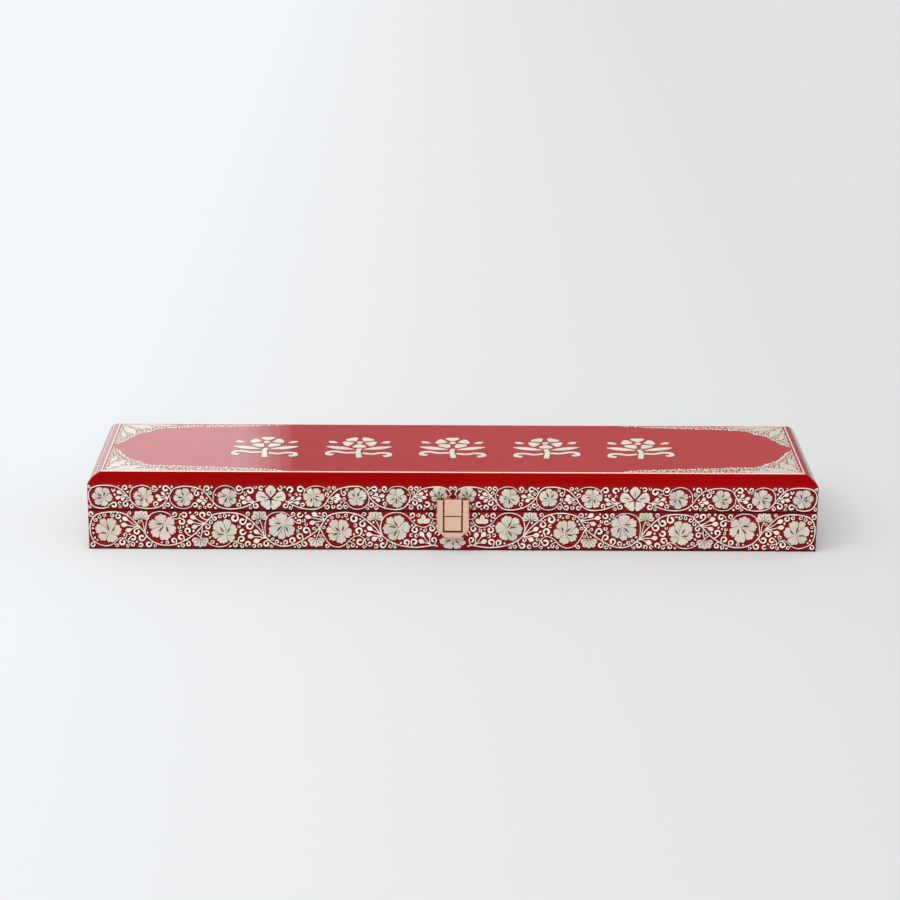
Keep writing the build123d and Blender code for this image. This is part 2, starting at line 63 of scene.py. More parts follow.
# ------------------------------------------------------------------ sizes shared with the frame (mm)
XO, YO, ZO = 259.8, 68.8, 55.2      # lacquered faces under the inlay
SKIN = 0.2
SEAM = 29.15
BASE_BAND = (0.9, 28.4)             # inlay on the base, along Z
LID_BAND = (29.9, 47.9)             # inlay on the lid's upright sides
FLAT_X, FLAT_Y = 251.2, 60.2        # half size of the flat top


# ------------------------------------------------------------------ camera
def camera():
    f, pitch, yaw, roll = 2681.6, 0.29648, -0.00412, 0.00555
    place = (-9.754, -1883.04, 629.06)
    cp, sp = math.cos(pitch), math.sin(pitch)
    cy, sy = math.cos(yaw), math.sin(yaw)
    cr, sr = math.cos(roll), math.sin(roll)
    rz = np.array([[cy, sy, 0], [-sy, cy, 0], [0, 0, 1]])
    b = np.array([[1, 0, 0], [0, 0, -1], [0, 1, 0.0]])
    rx = np.array([[1, 0, 0], [0, cp, -sp], [0, sp, cp]])
    rr = np.array([[cr, -sr, 0], [sr, cr, 0], [0, 0, 1]])
    r = rr @ rx @ b @ rz
    data = bpy.data.cameras.new("camera")
    data.sensor_width = 36.0
    data.lens = f / 900 * 36.0
    data.clip_start = 0.01
    data.clip_end = 60
    cam = bpy.data.objects.new("camera", data)
    bpy.context.scene.collection.objects.link(cam)
    m = Matrix.Identity(4)
    for i in range(3):
        m[i][0], m[i][1], m[i][2], m[i][3] = r[0][i], -r[1][i], -r[2][i], place[i] * MM
    cam.matrix_world = m
    bpy.context.scene.camera = cam


camera()
bpy.context.scene.view_settings.view_transform = "Standard"
bpy.context.scene.view_settings.look = "None"


# ------------------------------------------------------------------ materials
def new_mat(name):
    m = bpy.data.materials.new(name)
    m.use_nodes = True
    nt = m.node_tree
    bsdf = nt.nodes["Principled BSDF"]
    return m, nt, bsdf


def noise(nt, scale, detail=3.0, rough=0.55, coord="Object", distort=0.0):
    tc = nt.nodes.new("ShaderNodeTexCoord")
    n = nt.nodes.new("ShaderNodeTexNoise")
    n.inputs["Scale"].default_value = scale
    n.inputs["Detail"].default_value = detail
    n.inputs["Roughness"].default_value = rough
    n.inputs["Distortion"].default_value = distort
    nt.links.new(tc.outputs[coord], n.inputs["Vector"])
    return n


def ramp(nt, stops):
    r = nt.nodes.new("ShaderNodeValToRGB")
    el = r.color_ramp.elements
    while len(el) < len(stops):
        el.new(0.5)
    for e, (p, c) in zip(el, stops):
        e.position = p
        e.color = (*c, 1.0)
    return r


def bump(nt, bsdf, source, strength, distance):
    b = nt.nodes.new("ShaderNodeBump")
    b.inputs["Strength"].default_value = strength
    b.inputs["Distance"].default_value = distance
    nt.links.new(source, b.inputs["Height"])
    nt.links.new(b.outputs["Normal"], bsdf.inputs["Normal"])
    return b


def rough_from(nt, bsdf, source, low, high):
    mr = nt.nodes.new("ShaderNodeMapRange")
    mr.inputs["To Min"].default_value = low
    mr.inputs["To Max"].default_value = high
    nt.links.new(source, mr.inputs["Value"])
    nt.links.new(mr.outputs["Result"], bsdf.inputs["Roughness"])


def lacquer(name, dark, light, rough=(0.06, 0.12), coat=1.0, spec=0.5, painted_lit_top=None, painted_shade_bands=()):
    """painted_lit_top: (height in m, dark, light) is painted light: the flat above that height gets its own, lighter
    red than the bevel below;
    painted_shade_bands: (low, high, colour) heights in m painted darker on the upright faces: painted shade at the foot
    and in the gap along the seam."""
    m, nt, b = new_mat(name)
    n = noise(nt, 9.0, 4.0)
    r = ramp(nt, [(0.3, dark), (0.7, light)])
    nt.links.new(n.outputs["Fac"], r.inputs["Fac"])
    color = r.outputs["Color"]
    # painted light: above the given height the red turns lighter
    if painted_lit_top is not None:
        z, dark2, light2 = painted_lit_top
        r2 = ramp(nt, [(0.3, dark2), (0.7, light2)])
        nt.links.new(n.outputs["Fac"], r2.inputs["Fac"])
        tc = nt.nodes.new("ShaderNodeTexCoord")
        sep = nt.nodes.new("ShaderNodeSeparateXYZ")
        nt.links.new(tc.outputs["Object"], sep.inputs["Vector"])
        mr = nt.nodes.new("ShaderNodeMapRange")
        mr.inputs["From Min"].default_value = z - 0.0004
        mr.inputs["From Max"].default_value = z - 0.0001
        nt.links.new(sep.outputs["Z"], mr.inputs["Value"])
        mix = nt.nodes.new("ShaderNodeMix")
        mix.data_type = "RGBA"
        nt.links.new(mr.outputs["Result"], mix.inputs[0])
        nt.links.new(color, mix.inputs[6])
        nt.links.new(r2.outputs["Color"], mix.inputs[7])
        color = mix.outputs[2]
    # painted shade: dark bands on the upright faces at the given heights
    for low, high, shade_colour in painted_shade_bands:
        tc = nt.nodes.new("ShaderNodeTexCoord")
        sep = nt.nodes.new("ShaderNodeSeparateXYZ")
        nt.links.new(tc.outputs["Object"], sep.inputs["Vector"])
        off = nt.nodes.new("ShaderNodeMath")
        off.operation = "COMPARE"
        off.inputs[1].default_value = (low + high) / 2
        off.inputs[2].default_value = (high - low) / 2
        nt.links.new(sep.outputs["Z"], off.inputs[0])
        # on the upright faces only
        up = nt.nodes.new("ShaderNodeSeparateXYZ")
        nt.links.new(tc.outputs["Normal"], up.inputs["Vector"])
        side = nt.nodes.new("ShaderNodeMath")
        side.operation = "COMPARE"
        side.inputs[1].default_value = 0.0
        side.inputs[2].default_value = 0.5
        nt.links.new(up.outputs["Z"], side.inputs[0])
        both = nt.nodes.new("ShaderNodeMath")
        both.operation = "MULTIPLY"
        nt.links.new(off.outputs["Value"], both.inputs[0])
        nt.links.new(side.outputs["Value"], both.inputs[1])
        mix = nt.nodes.new("ShaderNodeMix")
        mix.data_type = "RGBA"
        mix.inputs[7].default_value = (*shade_colour, 1.0)
        nt.links.new(both.outputs["Value"], mix.inputs[0])
        nt.links.new(color, mix.inputs[6])
        color = mix.outputs[2]
    nt.links.new(color, b.inputs["Base Color"])
    n2 = noise(nt, 60.0, 2.0)
    rough_from(nt, b, n2.outputs["Fac"], *rough)
    b.inputs["Specular IOR Level"].default_value = spec
    b.inputs["Coat Weight"].default_value = coat
    b.inputs["Coat Roughness"].default_value = 0.02
    b.inputs["Coat IOR"].default_value = 1.5
    n3 = noise(nt, 240.0, 1.0)
    bump(nt, b, n3.outputs["Fac"], 0.02, 0.0004)
    return m


def pearl(name, gain=1.0, soft=(0.22, 0.40), warm=1.0):
    """Shell inlay: the hue drifts from grey green through cream to pink, from piece to piece and inside one piece."""
    m, nt, b = new_mat(name)
    at = nt.nodes.new("ShaderNodeAttribute")
    at.attribute_name = "tint"
    sep = nt.nodes.new("ShaderNodeSeparateColor")
    nt.links.new(at.outputs["Color"], sep.inputs["Color"])
    n = noise(nt, 170.0, 2.5, 0.5, distort=0.6)
    mix = nt.nodes.new("ShaderNodeMath")
    mix.operation = "MULTIPLY_ADD"
    mix.inputs[1].default_value = 0.62
    nt.links.new(sep.outputs["Green"], mix.inputs[0])
    nt.links.new(n.outputs["Fac"], mix.inputs[2])
    fr = nt.nodes.new("ShaderNodeMath")
    fr.operation = "MULTIPLY"
    fr.inputs[1].default_value = 0.66
    nt.links.new(mix.outputs["Value"], fr.inputs[0])
    shell = ((0.12, (0.78, 0.76, 0.69)), (0.28, (0.69, 0.75, 0.61)), (0.44, (0.82, 0.75, 0.60)),
             (0.57, (0.86, 0.69, 0.64)), (0.72, (0.72, 0.74, 0.68)), (0.88, (0.84, 0.77, 0.65)))
    r = ramp(nt, [(at_, (c[0] * gain, c[1] * gain * warm, c[2] * gain * warm)) for at_, c in shell])
    nt.links.new(fr.outputs["Value"], r.inputs["Fac"])
    lum = nt.nodes.new("ShaderNodeMapRange")
    lum.inputs["To Min"].default_value = 0.72
    lum.inputs["To Max"].default_value = 1.18
    nt.links.new(sep.outputs["Red"], lum.inputs["Value"])
    mul = nt.nodes.new("ShaderNodeMix")
    mul.data_type = "RGBA"
    mul.blend_type = "MULTIPLY"
    mul.inputs[0].default_value = 1.0
    nt.links.new(r.outputs["Color"], mul.inputs[6])
    nt.links.new(lum.outputs["Result"], mul.inputs[7])
    nt.links.new(mul.outputs[2], b.inputs["Base Color"])
    w = nt.nodes.new("ShaderNodeTexWave")
    w.inputs["Scale"].default_value = 420.0
    w.inputs["Distortion"].default_value = 9.0
    w.inputs["Detail"].default_value = 3.0
    w.inputs["Detail Scale"].default_value = 1.6
    tc = nt.nodes.new("ShaderNodeTexCoord")
    nt.links.new(tc.outputs["Object"], w.inputs["Vector"])
    rough_from(nt, b, w.outputs["Fac"], *soft)
    bump(nt, b, w.outputs["Fac"], 0.05, 0.0001)
    b.inputs["Specular IOR Level"].default_value = 0.5
    b.inputs["Coat Weight"].default_value = 0.35
    b.inputs["Coat Roughness"].default_value = 0.08
    b.inputs["Coat Tint"].default_value = (1.0, 0.97, 0.94, 1.0)
    return m


def metal(name, color, rough=(0.16, 0.28), grain=900.0, painted_recess_shade=None):
    """painted_recess_shade: (half width, y of the face, colour) is painted shade: the floor between the latch arms,
    deeper than that face, turns a dark, non-metallic brown.
    """
    m, nt, b = new_mat(name)
    b.inputs["Metallic"].default_value = 1.0
    n = noise(nt, 40.0, 3.0)
    lo = tuple(c * 0.94 for c in color)
    hi = tuple(min(1.0, c * 1.05) for c in color)
    r = ramp(nt, [(0.3, lo), (0.7, hi)])
    nt.links.new(n.outputs["Fac"], r.inputs["Fac"])
    out = r.outputs["Color"]
    # painted shade: dark, non-metallic brown where the recess lies deeper than the face
    if painted_recess_shade is not None:
        half, y, dark = painted_recess_shade
        tc = nt.nodes.new("ShaderNodeTexCoord")
        sep = nt.nodes.new("ShaderNodeSeparateXYZ")
        nt.links.new(tc.outputs["Object"], sep.inputs["Vector"])
        deep = nt.nodes.new("ShaderNodeMapRange")
        deep.inputs["From Min"].default_value = y + 0.0007
        deep.inputs["From Max"].default_value = y + 0.0014
        nt.links.new(sep.outputs["Y"], deep.inputs["Value"])
        ab = nt.nodes.new("ShaderNodeMath")
        ab.operation = "ABSOLUTE"
        nt.links.new(sep.outputs["X"], ab.inputs[0])
        less = nt.nodes.new("ShaderNodeMath")
        less.operation = "LESS_THAN"
        less.inputs[1].default_value = half
        nt.links.new(ab.outputs["Value"], less.inputs[0])
        both = nt.nodes.new("ShaderNodeMath")
        both.operation = "MULTIPLY"
        nt.links.new(deep.outputs["Result"], both.inputs[0])
        nt.links.new(less.outputs["Value"], both.inputs[1])
        mix = nt.nodes.new("ShaderNodeMix")
        mix.data_type = "RGBA"
        mix.inputs[7].default_value = (*dark, 1.0)
        nt.links.new(both.outputs["Value"], mix.inputs[0])
        nt.links.new(out, mix.inputs[6])
        out = mix.outputs[2]
        bare = nt.nodes.new("ShaderNodeMath")
        bare.operation = "SUBTRACT"
        bare.inputs[0].default_value = 1.0
        nt.links.new(both.outputs["Value"], bare.inputs[1])
        nt.links.new(bare.outputs["Value"], b.inputs["Metallic"])
    nt.links.new(out, b.inputs["Base Color"])
    n2 = noise(nt, grain, 2.0)
    rough_from(nt, b, n2.outputs["Fac"], *rough)
    bump(nt, b, n2.outputs["Fac"], 0.008, 0.00005)
    return m


def flock(name, dark, light):
    m, nt, b = new_mat(name)
    n = noise(nt, 55.0, 4.0)
    r = ramp(nt, [(0.32, dark), (0.68, light)])
    nt.links.new(n.outputs["Fac"], r.inputs["Fac"])
    nt.links.new(r.outputs["Color"], b.inputs["Base Color"])
    b.inputs["Roughness"].default_value = 0.95
    b.inputs["Specular IOR Level"].default_value = 0.1
    b.inputs["Sheen Weight"].default_value = 0.8
    b.inputs["Sheen Roughness"].default_value = 0.35
    b.inputs["Sheen Tint"].default_value = (0.95, 0.35, 0.35, 1.0)
    n2 = noise(nt, 2600.0, 2.0)
    bump(nt, b, n2.outputs["Fac"], 0.6, 0.0003)
    return m


# painted light: the lid's flat top is a lighter red than its bevel
RED = lacquer("red_lacquer", (0.275, 0.0006, 0.0009), (0.325, 0.0010, 0.0014), rough=(0.035, 0.06), coat=0.0,
              painted_lit_top=(ZO * MM, (0.455, 0.0010, 0.0016), (0.490, 0.0016, 0.0026)))
# painted shade for the gap along the seam between lid and base
SEAM_SHADE = (0.030, 0.0012, 0.0020)
BAND_RED = lacquer("band_lacquer", (0.225, 0.0008, 0.0045), (0.270, 0.0014, 0.0060), coat=0.0, spec=0.16,
                   painted_shade_bands=((0.0291, 0.0298, SEAM_SHADE),))
# painted shade at the foot, where the box meets the floor, and along the seam
BASE_RED = lacquer("base_band_lacquer", (0.225, 0.0008, 0.0045), (0.270, 0.0014, 0.0060), coat=0.0, spec=0.16,
                   painted_shade_bands=((-0.001, 0.0010, (0.045, 0.004, 0.004)), (0.0286, 0.0293, SEAM_SHADE)))
# dark outlines round the band pieces, and painted shadow where they are set off to the lower right
LINE = lacquer("dark_line_and_shadow_lacquer", (0.010, 0.0005, 0.0008), (0.024, 0.0008, 0.0014), coat=0.0, spec=0.10)
SHADE = lacquer("shade_line_lacquer", (0.036, 0.010, 0.009), (0.060, 0.017, 0.015), coat=0.0, spec=0.2)
CUT = lacquer("engraved_line", (0.012, 0.006, 0.007), (0.024, 0.011, 0.012), rough=(0.3, 0.5), coat=0.0, spec=0.2)
FINE = lacquer("engraved_hairline", (0.085, 0.060, 0.055), (0.13, 0.095, 0.085), rough=(0.3, 0.5), coat=0.0, spec=0.2)
INSIDE_RED = lacquer("inside_lacquer", (0.16, 0.003, 0.005), (0.20, 0.004, 0.007), rough=(0.22, 0.34), coat=0.4)
UNDER_RED = lacquer("under_lacquer", (0.07, 0.002, 0.003), (0.10, 0.003, 0.004), rough=(0.35, 0.5), coat=0.2)
PEARL = pearl("pearl", 1.07, warm=0.95)
PEARL_TOP = pearl("pearl_top", 1.0)
# brighter than the other pearl, partly as a painted highlight of the top's rounded front edge
PEARL_LINE = pearl("pearl_line", 1.16)
ROSE = metal("rose_gold", (0.93, 0.600, 0.455), rough=(0.20, 0.26), grain=300.0)
# the latch housing carries painted shade on its recess floor
ROSE_FRAME = metal("rose_gold_frame", (0.93, 0.590, 0.440), rough=(0.20, 0.26), grain=300.0, painted_recess_shade=(0.00722, -0.0740, (0.50, 0.085, 0.060)))
HINGE = metal("hinge_rose_gold", (0.82, 0.56, 0.43), rough=(0.26, 0.4))
STEEL = metal("steel", (0.56, 0.56, 0.57), rough=(0.22, 0.4))
FLOCK = flock("red_flock", (0.10, 0.002, 0.004), (0.16, 0.004, 0.007))


def paint(node, mat):
    o = frame["nodes"][node]
    o.data.materials.clear()
    o.data.materials.append(mat)


def soften(node, width_mm, segments=3, angle=32):
    o = frame["nodes"][node]
    mod = o.modifiers.new("edge", "BEVEL")
    mod.width = width_mm * MM
    mod.segments = segments
    mod.limit_method = "ANGLE"
    mod.angle_limit = math.radians(angle)
    mod.harden_normals = False


for n in frame["nodes"]:
    if n == "latch_housing":
        paint(n, ROSE_FRAME)
    elif n in ("latch_button", "latch_hasp"):
        paint(n, ROSE)
    elif "leaf" in n:
        paint(n, HINGE)
    elif n in ("hinge_pins", "latch_spring", "latch_slider") or "screws" in n or "rivets" in n:
        paint(n, STEEL)
    elif "card" in n:
        paint(n, FLOCK)
    elif n.startswith("tray"):
        paint(n, INSIDE_RED)
    elif n == "base_floor_panel":
        paint(n, UNDER_RED)
    elif n in ("lid_top_panel",):
        paint(n, RED)
    elif n in ("base_front_board", "base_back_board", "base_left_board", "base_right_board"):
        paint(n, BASE_RED)
    else:
        paint(n, BAND_RED)


# ------------------------------------------------------------------ flat drawing kit, in mm
def catmull(points, step=0.35):
    p = np.array(points, float)
    if len(p) == 2:
        n = max(2, int(np.linalg.norm(p[1] - p[0]) / step))
        t = np.linspace(0, 1, n + 1)[:, None]
        return p[0] * (1 - t) + p[1] * t
    q = np.vstack([2 * p[0] - p[1], p, 2 * p[-1] - p[-2]])
    out = []
    for i in range(len(p) - 1):
        a, b, c, d = q[i], q[i + 1], q[i + 2], q[i + 3]
        n = max(2, int(np.linalg.norm(c - b) / step))
        t = np.linspace(0, 1, n, endpoint=False)[:, None]
        out.append(0.5 * ((2 * b) + (c - a) * t + (2 * a - 5 * b + 4 * c - d) * t ** 2
                          + (3 * b - a - 3 * c + d) * t ** 3))
    out.append(p[-1:])
    return np.vstack(out)


def normals2(p):
    d = np.gradient(p, axis=0)
    d /= np.maximum(np.linalg.norm(d, axis=1), 1e-9)[:, None]
    return np.stack([-d[:, 1], d[:, 0]], 1)


class Drawing:
    """A flat design as plates and ribbons, each a closed thin solid when it is built.
    ribbons: (centre line, widths, height, tint); plates: (outline, height, tint); cuts and hairs: engraved
    strokes on a plate; holes: dark eyes of the scrolls; circles: what the filler keeps clear of."""

    def __init__(self, seed, box=None):
        self.rng = np.random.RandomState(seed)
        self.ribbons, self.plates, self.cuts, self.hairs, self.holes = [], [], [], [], []
        self.circles, self.stems = [], []
        self.box = box                      # (x0, x1, y0, y1): nothing is drawn outside it

    def within(self, pts, margin=0.0):
        if self.box is None:
            return pts
        x0, x1, y0, y1 = self.box
        m = np.asarray(margin)
        return np.stack([np.clip(pts[:, 0], x0 + m, x1 - m), np.clip(pts[:, 1], y0 + m, y1 - m)], 1)

    def tint(self, low=0.62, high=1.0):
        t = self.rng.rand(3)
        t[0] = low + (high - low) * t[0]
        return t

    def stem_tint(self):
        t = self.tint(0.60, 0.86)
        t[1] = 0.42 + 0.20 * t[1]
        return t

    def ribbon(self, line, widths, height, stem=False, block=True, tint=None):
        line = np.array(line, float)
        widths = np.broadcast_to(np.array(widths, float), (len(line),)).copy()
        line = self.within(line, widths / 2)
        self.ribbons.append((line, widths, height + self.rng.uniform(-0.003, 0.003),
                             self.tint() if tint is None else tint))
        if block:
            for (x, y), w in zip(line[::2], widths[::2]):
                self.circles.append((x, y, w / 2))
        if stem:
            self.stems.extend([tuple(q) for q in line[::2]])

    def stem(self, points, w0=1.15, w1=None, height=0.150):
        line = catmull(points)
        if self.box is not None:
            # crests that would leave the band are pressed in, not cut flat
            lo, hi = self.box[2] + w0 / 2, self.box[3] - w0 / 2
            y = line[:, 1]
            if y.max() > hi:
                start = hi - 2.4
                y = np.where(y > start, start + (y - start) * (hi - start) / (y.max() - start), y)
            if y.min() < lo:
                start = lo + 2.4
                y = np.where(y < start, start + (y - start) * (lo - start) / (y.min() - start), y)
            line = np.stack([line[:, 0], y], 1)
        t = np.linspace(0, 1, len(line))
        w = w0 + ((w1 if w1 is not None else w0) - w0) * t
        w = 0.85 * w * (1 + 0.10 * np.sin(t * len(line) * 0.21 + self.rng.rand() * 6))
        self.ribbon(line, w, height, stem=True, tint=self.stem_tint())

    def plate(self, outline, height, tint=None):
        self.plates.append((self.within(np.array(outline, float)), height + self.rng.uniform(-0.003, 0.003),
                            self.tint() if tint is None else tint))

    def cut(self, line, widths):
        line = self.within(np.array(line, float), 0.1)
        self.cuts.append((line, np.broadcast_to(np.array(widths, float), (len(line),)).copy()))

    def hair(self, line, widths=0.13):
        line = self.within(np.array(line, float), 0.1)
        self.hairs.append((line, np.broadcast_to(np.array(widths, float), (len(line),)).copy()))

    # -------- motifs
    def blossom(self, cx, cy, radius, lean=(0.25, 0.2), petals=6, turn=0.0, height=0.185, squash=1.0, strokes=3, pink=None):
        """Lobed petals with nicked edges that meet off centre, thin gaps between them and short dark strokes."""
        o = np.array([cx, cy])
        c = o + radius * np.array(lean) * np.array([1.0, squash])
        base = self.rng.rand(3)
        base[0] = 0.05 + 0.16 * base[0]
        base[1] = 0.36 * base[1] if self.rng.rand() < 0.72 else 0.45 + 0.5 * base[1]
        if pink is not None:
            base[1] = pink
        n = petals
        edge = (np.arange(n) + self.rng.uniform(-0.20, 0.20, n)) / n * 2 * math.pi + turn
        depth = self.rng.uniform(0.66, 0.76, n)
        bend = self.rng.uniform(-0.11, 0.11, n)

        def P(ang, rr):
            return o + np.stack([np.cos(ang) * rr, np.sin(ang) * rr * squash], -1)

        side = []
        for i in range(n):
            tip = P(np.array(edge[i]), np.array(radius * depth[i]))
            s = np.array([0.08, 0.2, 0.36, 0.54, 0.74, 0.9])[:, None]
            d = tip - c
            nn = np.array([-d[1], d[0]])
            side.append((c + d * s + nn * bend[i] * 4 * s * (1 - s), tip))
            self.hair(np.vstack([side[-1][0], tip[None] + d * 0.02]), np.linspace(0.26, 0.52, 7))
        for i in range(n):
            j = (i + 1) % n
            a0, a1 = edge[i], edge[j] + (2 * math.pi if i == n - 1 else 0)
            span = a1 - a0
            t = np.linspace(0, 1, 27)[1:-1]
            lobes = 2 if span < 0.9 else (3 if span < 1.3 else 4)
            lobes += int(self.rng.rand() < 0.35)
            skew = self.rng.uniform(-0.12, 0.12)
            tt = np.clip(t + skew * np.sin(math.pi * t), 0, 1)
            base_r = depth[i] + (depth[j] - depth[i]) * t
            peak = self.rng.uniform(1.0, 1.07)
            rr = radius * (base_r + (peak - base_r) * np.sin(math.pi * t) ** 0.46
                           - self.rng.uniform(0.07, 0.11) * np.abs(np.cos(math.pi * lobes * tt)) ** 5 * np.sin(math.pi * t) ** 0.3)
            rim = P(a0 + span * t, rr)
            outline = np.vstack([side[i][1][None], rim, side[j][1][None], side[j][0][::-1], side[i][0]])
            mid = outline.mean(0)
            pull = mid - outline
            dist = np.maximum(np.linalg.norm(pull, axis=1), 1e-6)
            outline = outline + pull / dist[:, None] * 0.02
            tint = np.clip(base + np.array([self.rng.uniform(-0.08, 0.26), self.rng.uniform(-0.16, 0.16), 0]), 0, 1)
            self.plate(outline, height, tint)
            # thin engraved veins
            for off in (-0.17, 0.16):
                am = a0 + span * (0.5 + off)
                tip = P(np.array(am), np.array(radius * 0.80))
                d = tip - c
                if np.linalg.norm(d) > radius * 0.5:
                    s = np.linspace(0.34, 0.92, 7)[:, None]
                    nn = np.array([-d[1], d[0]])
                    self.hair(c + d * s + nn * self.rng.uniform(-0.05, 0.05) * 4 * s * (1 - s), 0.14)
        # small heart at the meeting point
        a = np.linspace(0, 2 * math.pi, 10, endpoint=False)
        rr = radius * (0.085 + 0.02 * np.sin(3 * a + turn))
        self.plate(c + np.stack([np.cos(a) * rr, np.sin(a) * rr * squash], 1), height + 0.006, np.array([0.55, 0.60, 0.5]))
        # bold strokes on the side away from the meeting point
        away = math.atan2(-lean[1], -lean[0])
        if strokes:
            for k, off in enumerate((-0.98, 0.0, 0.98)):
                a = away + off + self.rng.uniform(-0.14, 0.14)
                d = np.array([math.cos(a), math.sin(a) * squash])
                s0 = 0.24 * radius
                s1 = s0 + (0.42 if k != 1 else 0.50) * radius * self.rng.uniform(0.9, 1.1)
                t = np.linspace(0, 1, 9)
                nn = np.array([-d[1], d[0]])
                line = c + d * (s0 + (s1 - s0) * t)[:, None] + nn * (self.rng.uniform(-0.05, 0.05) * radius * np.sin(math.pi * t))[:, None]
                w = (0.24 + 0.86 * np.sin(math.pi * np.clip(t * 0.92 + 0.06, 0, 1)) ** 0.8) * (radius / 9.5) ** 0.5
                self.cut(line, w)
        if squash == 1.0:
            self.circles.append((cx, cy, radius * 1.02))
        else:
            for k in (-0.62, -0.3, 0.0, 0.3, 0.62):
                self.circles.append((cx + radius * k, cy, radius * squash * (1.05 - 0.35 * abs(k))))

    def petal(self, base, tip, width, height=0.18, pointed=0.5, tint=None, block=True, veins=0):
        base, tip = np.array(base, float), np.array(tip, float)
        d = tip - base
        ln = np.linalg.norm(d)
        d = d / ln
        n = np.array([-d[1], d[0]])
        t = np.linspace(0, 1, 14)
        prof = np.sin(math.pi * t ** 1.25) ** 0.8 * (1 - pointed * 0.35 * t)
        left = base + d * (ln * t)[:, None] + n * (prof * width / 2)[:, None]
        right = base + d * (ln * t)[:, None] - n * (prof * width / 2)[:, None]
        self.plate(np.vstack([left, right[-2:0:-1]]), height, tint)
        s = np.linspace(0.14, 0.80, 8)[:, None]
        for v in range(veins):
            off = 0.0 if veins == 1 else (v / (veins - 1) - 0.5) * 0.56
            self.hair(base + d * ln * s + n * off * width * np.sin(math.pi * s ** 1.1), 0.15)
        if block:
            for k in (0.3, 0.55, 0.78):
                q = base + d * ln * k
                self.circles.append((q[0], q[1], width / 2 * (0.95 if k == 0.55 else 0.8)))

    def iris(self, cx, cy, size):
        """Five separate notched petals, the middle one upright."""
        c = np.array([cx, cy - 0.4])
        for a, ln, wd in ((90, 1.0, 0.80), (165, 1.24, 0.80), (15, 1.24, 0.80), (231, 0.94, 0.86), (309, 0.94, 0.86)):
            r = math.radians(a)
            d = np.array([math.cos(r), math.sin(r)])
            n = np.array([-d[1], d[0]])
            t = np.linspace(0, 1, 22)
            half = wd * size / 2 * np.sin(math.pi * t ** 1.5) ** 0.75 * (1 - 0.07 * np.abs(np.cos(3.5 * math.pi * t)) ** 5)
            half[-1] = 0.0
            notch = (0.12 if a != 90 else -0.08) * size * np.exp(-((t - 1) / 0.10) ** 2)
            along = 0.10 * size + (ln * size - 0.10 * size) * t - notch
            left = c + d * along[:, None] + n * half[:, None]
            right = c + d * along[:, None] - n * half[:, None]
            self.plate(np.vstack([left, right[-2:0:-1]]), 0.185, self.tint(0.36, 0.60))
            line = c + d * np.linspace(0.28, 0.68, 7)[:, None] * size * ln
            w = 0.16 + 0.66 * np.sin(math.pi * np.linspace(0.1, 0.95, 7))
            if a in (90, 165, 15):
                self.cut(line, w)
            for off in (-0.16, 0.16):
                s = np.linspace(0.30, 0.80, 7)[:, None]
                self.hair(c + d * s * size * ln + n * off * size * np.sin(math.pi * s), 0.15)
            for k, g in ((0.45, 0.62), (0.72, 0.92)):
                q = c + d * size * k * ln
                self.circles.append((q[0], q[1], wd * size / 2 * g))
        self.circles.append((c[0], c[1], size * 0.30))

    def palmette(self, x, y, size, up=1, petals=5):
        """Half flower: rounded petals fan out from one point at the end of a stem."""
        c = np.array([x, y])
        tint = self.tint(0.05, 0.25)
        for i in (0, 4, 1, 3, 2):
            a = math.radians(90 * up + (i - 2) * 36)
            ln = size * (1.00, 1.12, 1.06, 1.12, 1.00)[i]
            u = np.array([math.cos(a), math.sin(a)])
            n = np.array([-u[1], u[0]])
            t = np.linspace(0, 1, 20)
            half = size * 0.30 * np.sin(math.pi * t ** 1.7) ** 0.7
            half[-1] = 0.0
            along = 0.06 * size + 0.94 * ln * t
            tint[1] *= 0.9
            tt = np.clip(tint + np.array([self.rng.uniform(-0.05, 0.26), self.rng.uniform(-0.15, 0.15), 0]), 0, 1)
            self.plate(np.vstack([c + u * along[:, None] + n * half[:, None],
                                  (c + u * along[:, None] - n * half[:, None])[-2:0:-1]]), 0.168 + 0.006 * (2 - abs(i - 2)), tt)
            s = np.linspace(0.16, 0.74, 7)
            self.cut(c + u * (ln * s)[:, None], 0.14 + 0.30 * np.sin(math.pi * s))
            for k, g in ((0.4, 0.18), (0.68, 0.29), (0.88, 0.22)):
                q = c + u * ln * k
                self.circles.append((q[0], q[1], size * g))

    def bud(self, start, tip, width, tint=None):
        start, tip = np.array(start, float), np.array(tip, float)
        body = np.linalg.norm(tip - start)
        u = (tip - start) / body
        n = np.array([-u[1], u[0]])
        t = np.linspace(0, 1, 15)
        prof = np.sin(math.pi * t ** 1.35) ** 0.80
        left = start + u * (body * t)[:, None] + n * (prof * width / 2)[:, None]
        right = start + u * (body * t)[:, None] - n * (prof * width / 2)[:, None]
        self.plate(np.vstack([left, right[-2:0:-1]]), 0.172, self.tint(0.50, 0.92) if tint is None else tint)
        for k, g in ((0.35, 0.75), (0.58, 1.0), (0.8, 0.7)):
            q = start + u * body * k
            self.circles.append((q[0], q[1], width / 2 * g))

    def buds(self, joint, tips, width=2.9, body=4.6):
        """Teardrops on stalks that leave one point of the vine."""
        j = np.array(joint, float)
        for tip in tips:
            tip = np.array(tip, float)
            d = tip - j
            ln = np.linalg.norm(d)
            u = d / ln
            n = np.array([-u[1], u[0]])
            b = min(body, ln * 0.62)
            start = tip - u * b
            line = catmull([j, (j + start) / 2 + n * ln * self.rng.uniform(-0.07, 0.07), start + u * 0.8])
            self.ribbon(line, np.linspace(0.80, 0.60, len(line)), 0.146, tint=self.stem_tint())
            self.bud(start, tip, width * self.rng.uniform(0.92, 1.08))

    def sprout(self, x, y, size, angle):
        """Two small leaves that part from one point."""
        for off in (-0.42, 0.42):
            a = angle + off
            self.petal((x, y), (x + size * math.cos(a), y + size * math.sin(a)), size * 0.36, height=0.165, pointed=0.2)

